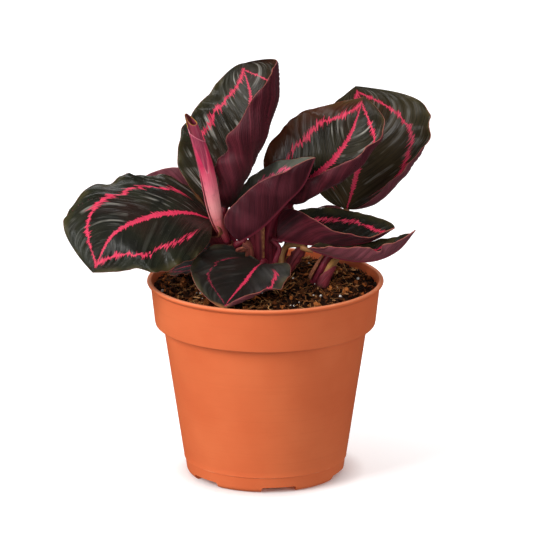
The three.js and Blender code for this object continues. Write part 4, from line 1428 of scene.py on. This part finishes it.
DRILL = 8  # length of the tool that cuts a drain hole
POT_FLOOR = CHANNEL_HEIGHT + 1.5
POT_SIDES = 240


def body_radius(height):
    """Outer radius of the tapered wall."""
    return BODY_RADIUS + BODY_SLOPE * (height - MOULD_LINE)


def arc(middle, radius, start, end, steps):
    """Points of the profile round a middle, between two angles in degrees from outward."""
    angles = np.radians(np.linspace(start, end, steps + 1))
    return [(middle[0] + radius * np.cos(a), middle[1] + radius * np.sin(a)) for a in angles]


def wall_line(radius_at, start, end, steps):
    """Points of the profile up a straight wall, close enough together to keep its shading smooth."""
    return [(radius_at(z), z) for z in np.linspace(start, end, steps + 1)]


def collar_radius(height):
    """Outer radius of the collar, which widens a little up to its bead."""
    share = (height - COLLAR_BOTTOM) / (RIM_TOP - 2.5 * BEAD_RADIUS - COLLAR_BOTTOM)
    return COLLAR_RADIUS + (COLLAR_TOP_RADIUS - COLLAR_RADIUS) * share


POT_PROFILE = [
    *arc((FOOT_RADIUS, FOOT_ROUNDING), FOOT_ROUNDING, -90, -8, 10),
    (body_radius(MOULD_LINE) - MOULD_STEP, MOULD_LINE - MOULD_ROUNDING),
    (body_radius(MOULD_LINE) + 0.06, MOULD_LINE),
    (body_radius(MOULD_LINE), MOULD_LINE + MOULD_ROUNDING),
    *wall_line(body_radius, 12, COLLAR_BOTTOM - 0.6, 16),
    (body_radius(COLLAR_BOTTOM) + 0.15, COLLAR_BOTTOM - 0.12),
    (body_radius(COLLAR_BOTTOM) + 0.6, COLLAR_BOTTOM),
    *arc((COLLAR_RADIUS - COLLAR_ROUNDING, COLLAR_BOTTOM + COLLAR_ROUNDING), COLLAR_ROUNDING, -90, 0, 5),
    *wall_line(collar_radius, COLLAR_BOTTOM + 2, RIM_TOP - 4 * BEAD_RADIUS, 6),
    (collar_radius(RIM_TOP - 3.2 * BEAD_RADIUS) + 0.15, RIM_TOP - 3 * BEAD_RADIUS),
    *arc((RIM_RADIUS - BEAD_RADIUS, RIM_TOP - BEAD_RADIUS), BEAD_RADIUS, -55, 90, 12),
    *arc((RIM_RADIUS - LIP + LIP_ROUNDING, RIM_TOP - LIP_ROUNDING), LIP_ROUNDING, 90, 180, 4),
    (COLLAR_TOP_RADIUS - WALL, RIM_TOP - 3),
    (COLLAR_RADIUS - WALL, COLLAR_BOTTOM + LEDGE + 0.1),
    (body_radius(COLLAR_BOTTOM) - 0.9, COLLAR_BOTTOM + LEDGE),
    (body_radius(COLLAR_BOTTOM) - WALL, COLLAR_BOTTOM),
    (body_radius(POT_FLOOR) - WALL - 0.5, POT_FLOOR),
]


def turn_profile(profile, sides):
    """Points and faces of a body turned about the pot's axis, closed by two flat discs."""
    angle = np.linspace(0, 2 * np.pi, sides, endpoint=False)
    points = [[(r * np.cos(a), r * np.sin(a), z) for a in angle] for r, z in profile]
    return np.array(points).reshape(-1, 3), ring_faces(len(profile), sides)


print("the pot's profile has", len(POT_PROFILE), "points")

# %% The plastic
POT_ORANGE = tone(229, 110, 62)
POT_PALER = tone(237, 121, 71)
FLOW_ORANGE = tone(220, 102, 56)
LIGHT_SPECK = tone(240, 132, 80)
DARK_SPECK = tone(190, 76, 38)
LEDGE_HIGHLIGHT = tone(238, 156, 112)
RIM_HIGHLIGHT = tone(246, 160, 116)


def pot_plastic():
    """Matt orange, faint flow marks and specks, and painted highlights at the mould line and the rim."""
    paint = Paint("pot_plastic")
    place = millimetres(paint)
    level = paint.add("SeparateXYZ", None, {"Vector": place}, 2)
    broad = cloud(paint, place, 0.03, 3)
    flow = cloud(paint, point(paint, level * 0.9, broad * 4), 1.0, 2)
    fine = cloud(paint, place, 1.6, 4, 0.65)
    specks = cloud(paint, place, 0.8, 4, 0.75)
    color = mix(paint, POT_ORANGE, POT_PALER, broad.rises(0.35, 0.7))
    color = mix(paint, color, FLOW_ORANGE, flow.rises(0.5, 0.75) * 0.2)
    color = mix(paint, color, LIGHT_SPECK, specks.rises(0.68, 0.8) * 0.35)
    color = mix(paint, color, DARK_SPECK, specks.rises(0.34, 0.24) * 0.35)
    # broken patches in which the painted highlights below show
    highlight_breaks = cloud(paint, place, 0.12, 4, 0.7).rises(0.5, 0.7)
    # a painted highlight along the small ledge of the mould line
    line = 1 - abs(level - MOULD_LINE).rises(0.12, 0.4)
    color = mix(paint, color, LEDGE_HIGHLIGHT, line * highlight_breaks * 0.7)
    # a painted highlight along the top of the rim
    rim = level.rises(RIM_TOP - 0.7, RIM_TOP - 0.2)
    color = mix(paint, color, RIM_HIGHLIGHT, rim * (0.4 + highlight_breaks * 0.5))
    return paint.set(
        Base_Color=color,
        Roughness=0.46 + fine * 0.12,
        Normal=relief(paint, fine * 0.8 + flow * 0.2, 0.05),
        Specular_IOR_Level=0.4,
        Subsurface_Weight=0.06,
        Subsurface_Radius=(0.004, 0.0015, 0.001),
    )


plastic = pot_plastic()
print("the plastic is painted with", len(plastic.node_tree.nodes), "nodes")

# %% Turning and cutting the pot
SHARP = math.radians(32)  # an edge that turns by more is kept crisp


def sharpen(mesh):
    """Keeps a crisp edge wherever two faces meet at more than a set angle."""
    shape = bmesh.new()
    shape.from_mesh(mesh)
    for edge in shape.edges:
        edge.smooth = len(edge.link_faces) == 2 and edge.calc_face_angle() < SHARP
    for flat in shape.faces:
        flat.smooth = True
    shape.to_mesh(mesh)
    shape.free()


def cutter(shape, turn):
    """A finished tool, in the pot's own millimetres, turned about the pot's axis."""
    turned = Matrix.Rotation(math.radians(turn), 3, "Z")
    bmesh.ops.rotate(shape, cent=(0, 0, 0), matrix=turned, verts=shape.verts)
    bmesh.ops.scale(shape, vec=(MM, MM, MM), verts=shape.verts)
    mesh = bpy.data.meshes.new("cutter")
    shape.to_mesh(mesh)
    shape.free()
    tool = bpy.data.objects.new("cutter", mesh)
    bpy.context.scene.collection.objects.link(tool)
    return tool


def channel_cutter(turn):
    """A long box with its two top edges rounded."""
    shape = bmesh.new()
    box = bmesh.ops.create_cube(shape, size=1)["verts"]
    reach = RIM_RADIUS - CHANNEL_START
    bmesh.ops.scale(shape, vec=(CHANNEL_WIDTH, reach, 2 * CHANNEL_HEIGHT), verts=box)
    bmesh.ops.translate(shape, vec=(0, -CHANNEL_START - reach / 2, 0), verts=box)
    upper = [edge for edge in shape.edges if all(vertex.co.z > 0 for vertex in edge.verts)]
    bmesh.ops.bevel(shape, geom=upper, offset=CHANNEL_ROUNDING, segments=3, affect="EDGES")
    return cutter(shape, turn)


def drain_cutter(turn):
    """A drill for the hole in the channel's roof."""
    shape = bmesh.new()
    drill = bmesh.ops.create_cone(shape, cap_ends=True, segments=DRAIN_SIDES, radius1=DRAIN_RADIUS,
                                  radius2=DRAIN_RADIUS, depth=DRILL)["verts"]
    bmesh.ops.translate(shape, vec=(0, -DRAIN_PLACE, CHANNEL_HEIGHT + 1), verts=drill)
    return cutter(shape, turn)


points, faces = turn_profile(POT_PROFILE, POT_SIDES)
pot = make_piece("pot_shell", points, faces, [plastic], None, None, "pot")
turns = [CHANNEL_TURN + 360 * n / CHANNELS for n in range(CHANNELS)]
tools = [make_tool(turn) for turn in turns for make_tool in (channel_cutter, drain_cutter)]
for tool in tools:
    step = pot.modifiers.new("cut", "BOOLEAN")
    step.operation = "DIFFERENCE"
    step.solver = "MANIFOLD"
    step.object = tool
bpy.context.view_layer.update()
shaped = bpy.data.meshes.new_from_object(pot.evaluated_get(bpy.context.evaluated_depsgraph_get()))
pot.modifiers.clear()
pot.data = shaped
sharpen(pot.data)
for tool in tools:
    bpy.data.objects.remove(tool)
print("the pot has", len(pot.data.polygons), "faces")

# %% [markdown]
# ## The soil
#
# The mix is coir and peat: a dark, open crumb with orange-brown fibres, a few chips of bark and
# white grains of perlite. The ground itself is a turned body whose top is lifted by noise. On it lie
# four kinds of small pieces, each kind fused into one mesh and thrown with a fixed seed.

# %% The ground
SOIL_EDGE = 97.4  # height at the pot's wall
SOIL_RISE = 4.6  # how much higher its middle is
SOIL_LUMP = 0.7
SOIL_RINGS = 90
SOIL_SIDES = 260
SOIL_REACH = COLLAR_TOP_RADIUS - WALL - 0.25  # radius of its top
SOIL_HOLE = 0.4  # radius of its innermost ring
CLODS = 0.34  # clods in a millimetre
GRAINS = 0.8  # and smaller grains on them


def soil_height(x, y):
    """Height of the soil with its low lumps, as on the solid model."""
    share = np.hypot(x, y) / COLLAR_TOP_RADIUS
    broad = np.sin(0.31 * x + 1.3) * np.cos(0.27 * y)
    fine = np.sin(0.5 * x - 0.4 * y) + np.cos(0.62 * y + 0.3 * x)
    return SOIL_EDGE + SOIL_RISE * (1 - share * share) + SOIL_LUMP * (broad + fine) * (1 - 0.5 * share)


def crumble(x, y):
    """Small clods and hollows of the surface."""
    clods = noise.voronoi((x * CLODS, y * CLODS, 0.0))[0]
    grains = noise.voronoi((x * GRAINS, y * GRAINS, 4.0))[0]
    return 1.5 * (clods[1] - clods[0]) - 1.2 * clods[0] + 0.6 * (grains[1] - grains[0])


def ground_points():
    """Rings of points: two down in the pot, then the rough top from the wall to the middle."""
    angle = np.linspace(0, 2 * np.pi, SOIL_SIDES, endpoint=False)
    circle = np.stack([np.cos(angle), np.sin(angle)], axis=-1)
    foot = (body_radius(POT_FLOOR) - WALL - 0.8) * circle
    neck = (body_radius(COLLAR_BOTTOM) - WALL - 0.3) * circle
    rows = [foot, neck]
    heights = [[POT_FLOOR + 0.3] * SOIL_SIDES, [COLLAR_BOTTOM] * SOIL_SIDES]
    for radius in np.linspace(SOIL_REACH, SOIL_HOLE, SOIL_RINGS):
        row = radius * circle
        rows.append(row)
        heights.append([float(soil_height(x, y)) + crumble(x, y) - 0.3 for x, y in row])
    return np.concatenate([np.array(rows), np.array(heights)[..., None]], axis=-1)


points = ground_points()
print("the ground reaches", round(float(points[..., 2].max()), 1), "mm")

# %% What the soil is painted with
SOIL_TONES = dict(  # dark, light and accent
    soil_ground=(tone(18, 9, 5), tone(84, 46, 24), tone(140, 82, 42)),
    soil_crumb=(tone(20, 10, 6), tone(116, 62, 30), tone(190, 112, 56)),
    soil_fibre=(tone(84, 48, 26), tone(172, 110, 60), tone(216, 164, 106)),
    soil_bark=(tone(46, 24, 13), tone(128, 72, 36), tone(206, 150, 98)),
    perlite=(tone(214, 208, 200), tone(246, 244, 240), tone(250, 250, 248)),
)
GROUND_SHADE = 0.25


def soil_paint(name):
    """A crumbly material, whose pieces vary by the number stored on them."""
    dark, light, accent = SOIL_TONES[name]
    paint = Paint(name)
    (shade,) = read(paint, "shade")
    grains = cloud(paint, millimetres(paint), 1.1, 4, 0.7)
    color = mix(paint, dark, light, (grains * 0.7 + shade * 0.7).rises(0.4, 0.95))
    color = mix(paint, color, accent, (shade + grains * 0.3).rises(0.85, 1.05) * 0.9)
    rough = relief(paint, grains, 0.5)
    return paint.set(Base_Color=color, Roughness=0.9, Normal=rough, Specular_IOR_Level=0.25)


stored = dict(shade=np.tile(GROUND_SHADE, points.shape[:2]))
faces = ring_faces(SOIL_RINGS + 2, SOIL_SIDES)
paints = [soil_paint("soil_ground")]
make_piece("soil_ground", points.reshape(-1, 3), faces, paints, stored, None, "soil")
print("soil materials:", list(SOIL_TONES))

# %% Scattering
random = np.random.default_rng(7)


def on_soil(margin):
    """A random place on the soil, at least a margin from the pot's wall."""
    radius = (SOIL_REACH - margin) * math.sqrt(random.uniform(0, 1))
    angle = random.uniform(0, 2 * math.pi)
    return radius * math.cos(angle), radius * math.sin(angle)


def lump_points(detail):
    """A round lump of radius 1, finer with more detail."""
    shape = bmesh.new()
    bmesh.ops.create_icosphere(shape, subdivisions=detail, radius=1)
    shape.verts.index_update()
    points = np.array([vertex.co[:] for vertex in shape.verts])
    faces = [tuple(vertex.index for vertex in face.verts) for face in shape.faces]
    shape.free()
    return points, faces


def turned_at_random(points):
    """The points, turned about a random axis."""
    basis, _ = np.linalg.qr(random.normal(size=(3, 3)))
    return points @ basis.T


def scatter(name, count, make_one, paint):
    """Many small bodies as one piece. make_one gives points, faces and a shade."""
    all_points, all_faces, shades, start = [], [], [], 0
    for _ in range(count):
        points, faces, shade = make_one()
        all_points.append(points)
        all_faces += [tuple(index + start for index in face) for face in faces]
        shades += [shade] * len(points)
        start += len(points)
    return make_piece(name, np.vstack(all_points), all_faces, [paint], dict(shade=shades))


print("small pieces lie within", round(SOIL_REACH, 1), "mm of the pot's axis")

# %% Crumbs
CRUMBS = 2400
LARGEST_CRUMB = 1.9
COARSE_LUMP = lump_points(1)
FINE_LUMP = lump_points(2)


def crumb():
    """A torn lump of peat or coir."""
    base, faces = COARSE_LUMP
    size = random.uniform(0.3, 1.0) ** 1.8 * LARGEST_CRUMB
    torn = 1 + 0.3 * np.sin(base @ random.normal(size=3) * 3 + random.uniform(0, 6))
    torn = torn + random.normal(size=len(base)) * 0.2
    squash = [1, random.uniform(0.4, 1), random.uniform(0.3, 0.9)]
    shaped = turned_at_random(base * torn[:, None] * squash)
    x, y = on_soil(2.0)
    z = float(soil_height(x, y)) + crumble(x, y) + size * 0.2
    return shaped * size + [x, y, z], faces, random.uniform(0, 1) ** 1.5


crumbs = scatter("soil_crumbs", CRUMBS, crumb, soil_paint("soil_crumb"))
crumbs.data.polygons.foreach_set("use_smooth", [False] * len(crumbs.data.polygons))
print("crumbs:", len(crumbs.data.vertices), "points")

# %% Fibres
FIBRES = 560
FIBRE_STEPS = 9
FIBRE_SIDES = 5
FIBRE_LIFT = 0.9  # how high the middle of a fibre lies over the ground


def strand():
    """A thin curved fibre that lies on the soil, with its ends lifted a little."""
    x, y = on_soil(4.0)
    length = random.uniform(3, 13)
    turn, bend = random.uniform(0, 2 * math.pi), random.normal() * 1.4
    thick = 0.1 + 0.24 * random.uniform(0, 1) ** 1.6
    route = []
    for share in np.linspace(0, 1, FIBRE_STEPS):
        heading = turn + bend * (share - 0.5)
        x += math.cos(heading) * length / FIBRE_STEPS
        y += math.sin(heading) * length / FIBRE_STEPS
        pull = min(1, SOIL_REACH / max(math.hypot(x, y), 1))
        x, y = x * pull, y * pull
        lift = FIBRE_LIFT + 1.3 * (share - 0.5) ** 2 * random.uniform(0, 4)
        route.append((x, y, float(soil_height(x, y)) + lift))
    shape = (FIBRE_STEPS, FIBRE_SIDES)
    along = np.broadcast_to(np.linspace(0, 1, FIBRE_STEPS)[:, None], shape)
    angle = np.broadcast_to(np.linspace(0, 2 * np.pi, FIBRE_SIDES, endpoint=False), shape)
    points = around(frames_along(Route(route), along), thick * (1 - 0.5 * along), angle)
    return points.reshape(-1, 3), ring_faces(*shape), random.uniform(0, 1)


strands = scatter("soil_fibres", FIBRES, strand, soil_paint("soil_fibre"))
print("fibres:", len(strands.data.polygons), "faces")

# %% Bark and perlite
CHIPS = 190
PERLITE = 44
RESTS_OVER = 0.8  # how high the middle of a chip or a grain lies over the ground


def chip():
    """A flat splinter of bark."""
    base, faces = FINE_LUMP
    length, width = random.uniform(0.8, 2.6), random.uniform(0.3, 0.8)
    jag = 1 + 0.3 * np.sin(base[:, :1] * 7 + random.uniform(0, 6)) * np.abs(base[:, 1:2])
    flat = base * jag * [length, width, random.uniform(0.18, 0.4)]
    roll = np.array(Matrix.Rotation(random.normal() * 0.5, 3, "X"))
    spin = np.array(Matrix.Rotation(random.uniform(0, 2 * math.pi), 3, "Z"))
    x, y = on_soil(4.5)
    place = [x, y, float(soil_height(x, y)) + RESTS_OVER]
    return flat @ roll.T @ spin.T + place, faces, random.uniform(0, 1)


def grain():
    """A puffed, angular grain of perlite."""
    base, faces = COARSE_LUMP
    puffed = base * (1 + random.normal(size=(len(base), 1)) * 0.14)
    x, y = on_soil(2.5)
    place = [x, y, float(soil_height(x, y)) + RESTS_OVER]
    return turned_at_random(puffed) * random.uniform(0.3, 0.95) + place, faces, random.uniform(0, 1)


chips = scatter("soil_bark", CHIPS, chip, soil_paint("soil_bark"))
perlite = scatter("soil_perlite", PERLITE, grain, soil_paint("perlite"))
print("chips and grains:", [len(piece.data.polygons) for piece in (chips, perlite)], "faces")

# %% [markdown]
# ## Floor and light
#
# The plant stands on a plain white sweep, which is lit so brightly that it has no edge. Its own glow
# stops under the pot, so that a narrow shade is left there. Four broad lamps (key, fill, top and
# rear) give the soft even light, and four narrow ones only shine back from the glossy pleats, as long
# pale streaks. To keep the two apart, the broad lamps have no reflection and the narrow ones don't
# light anything.

# %% Floor
FLOOR_SIZE = 8  # metres from the middle to its edge
FLOOR_WHITE = (0.93, 0.93, 0.93, 1)
FLOOR_GLOW = 0.5
CONTACT = (36, 52)  # from the middle: the shade under the pot, and where it has faded out
BLACK = (0, 0, 0, 1)
WHITE = (1, 1, 1, 1)


def floor_paint():
    """A white that glows a little, as a lit sweep does, but not in the shade under the pot."""
    paint = Paint("floor")
    from_middle = paint.add("VectorMath", {"operation": "LENGTH"}, {"Vector": millimetres(paint)}, 1)
    glow = mix(paint, BLACK, WHITE, from_middle.rises(*CONTACT))
    return paint.set(Base_Color=FLOOR_WHITE, Roughness=0.8, Specular_IOR_Level=0.1,
                     Emission_Color=glow, Emission_Strength=FLOOR_GLOW)


floor_mesh = bpy.data.meshes.new("floor")
corners = [(x * FLOOR_SIZE, y * FLOOR_SIZE, 0) for x, y in ((-1, -1), (1, -1), (1, 1), (-1, 1))]
floor_mesh.from_pydata(corners, [], [(0, 1, 2, 3)])
floor_mesh.materials.append(floor_paint())
floor = bpy.data.objects.new("floor", floor_mesh)
bpy.context.scene.collection.objects.link(floor)
# The floor neither lights the plant nor shines back from it.
floor.visible_diffuse = False
floor.visible_glossy = False
print("the floor is", 2 * FLOOR_SIZE, "m wide")

# %% Light
PLANT_MIDDLE = (0, 0, 0.13)
BROAD_LAMPS = dict(
    key=dict(place=(-1.25, -0.8, 0.85), size=(0.8, 1.1), power=26),
    fill=dict(place=(1.1, -1.5, 0.5), size=(1.2, 1.2), power=11),
    top=dict(place=(-0.3, 0.2, 1.5), size=(0.9, 0.9), power=5),
    rear=dict(place=(0.9, 1.3, 0.5), size=(1.2, 1.2), power=6),
)
NARROW_LAMPS = dict(
    left_gloss=dict(place=(-1.05, -1.2, 0.3), size=(0.25, 0.9), power=3.5),
    rear_gloss=dict(place=(-0.35, 1.15, 1.1), size=(0.9, 0.3), power=2.8),
    side_gloss=dict(place=(-1.4, -0.3, 1.0), size=(0.35, 0.7), power=3.5),
    high_gloss=dict(place=(-0.2, -0.9, 1.3), size=(0.5, 0.3), power=2.5),
)
SKY_STRENGTH = 0.34


def soft_light(name, place, size, power):
    """A rectangular studio lamp at a place in metres, turned to the plant."""
    lamp = bpy.data.lights.new(name, "AREA")
    lamp.shape = "RECTANGLE"
    lamp.size, lamp.size_y = size
    lamp.energy = power
    light = bpy.data.objects.new(name, lamp)
    light.location = place
    light.rotation_euler = (Vector(PLANT_MIDDLE) - Vector(place)).to_track_quat("-Z", "Y").to_euler()
    bpy.context.scene.collection.objects.link(light)
    return light


for name, lamp in BROAD_LAMPS.items():
    soft_light(name, **lamp).visible_glossy = False
for name, lamp in NARROW_LAMPS.items():
    soft_light(name, **lamp).visible_diffuse = False
world = bpy.data.worlds.new("sky")
world.use_nodes = True
sky = world.node_tree.nodes["Background"].inputs
sky["Color"].default_value = WHITE
sky["Strength"].default_value = SKY_STRENGTH
world.cycles_visibility.glossy = False
bpy.context.scene.world = world
bpy.context.scene.view_settings.view_transform = "Standard"
print("lamps:", [*BROAD_LAMPS, *NARROW_LAMPS])
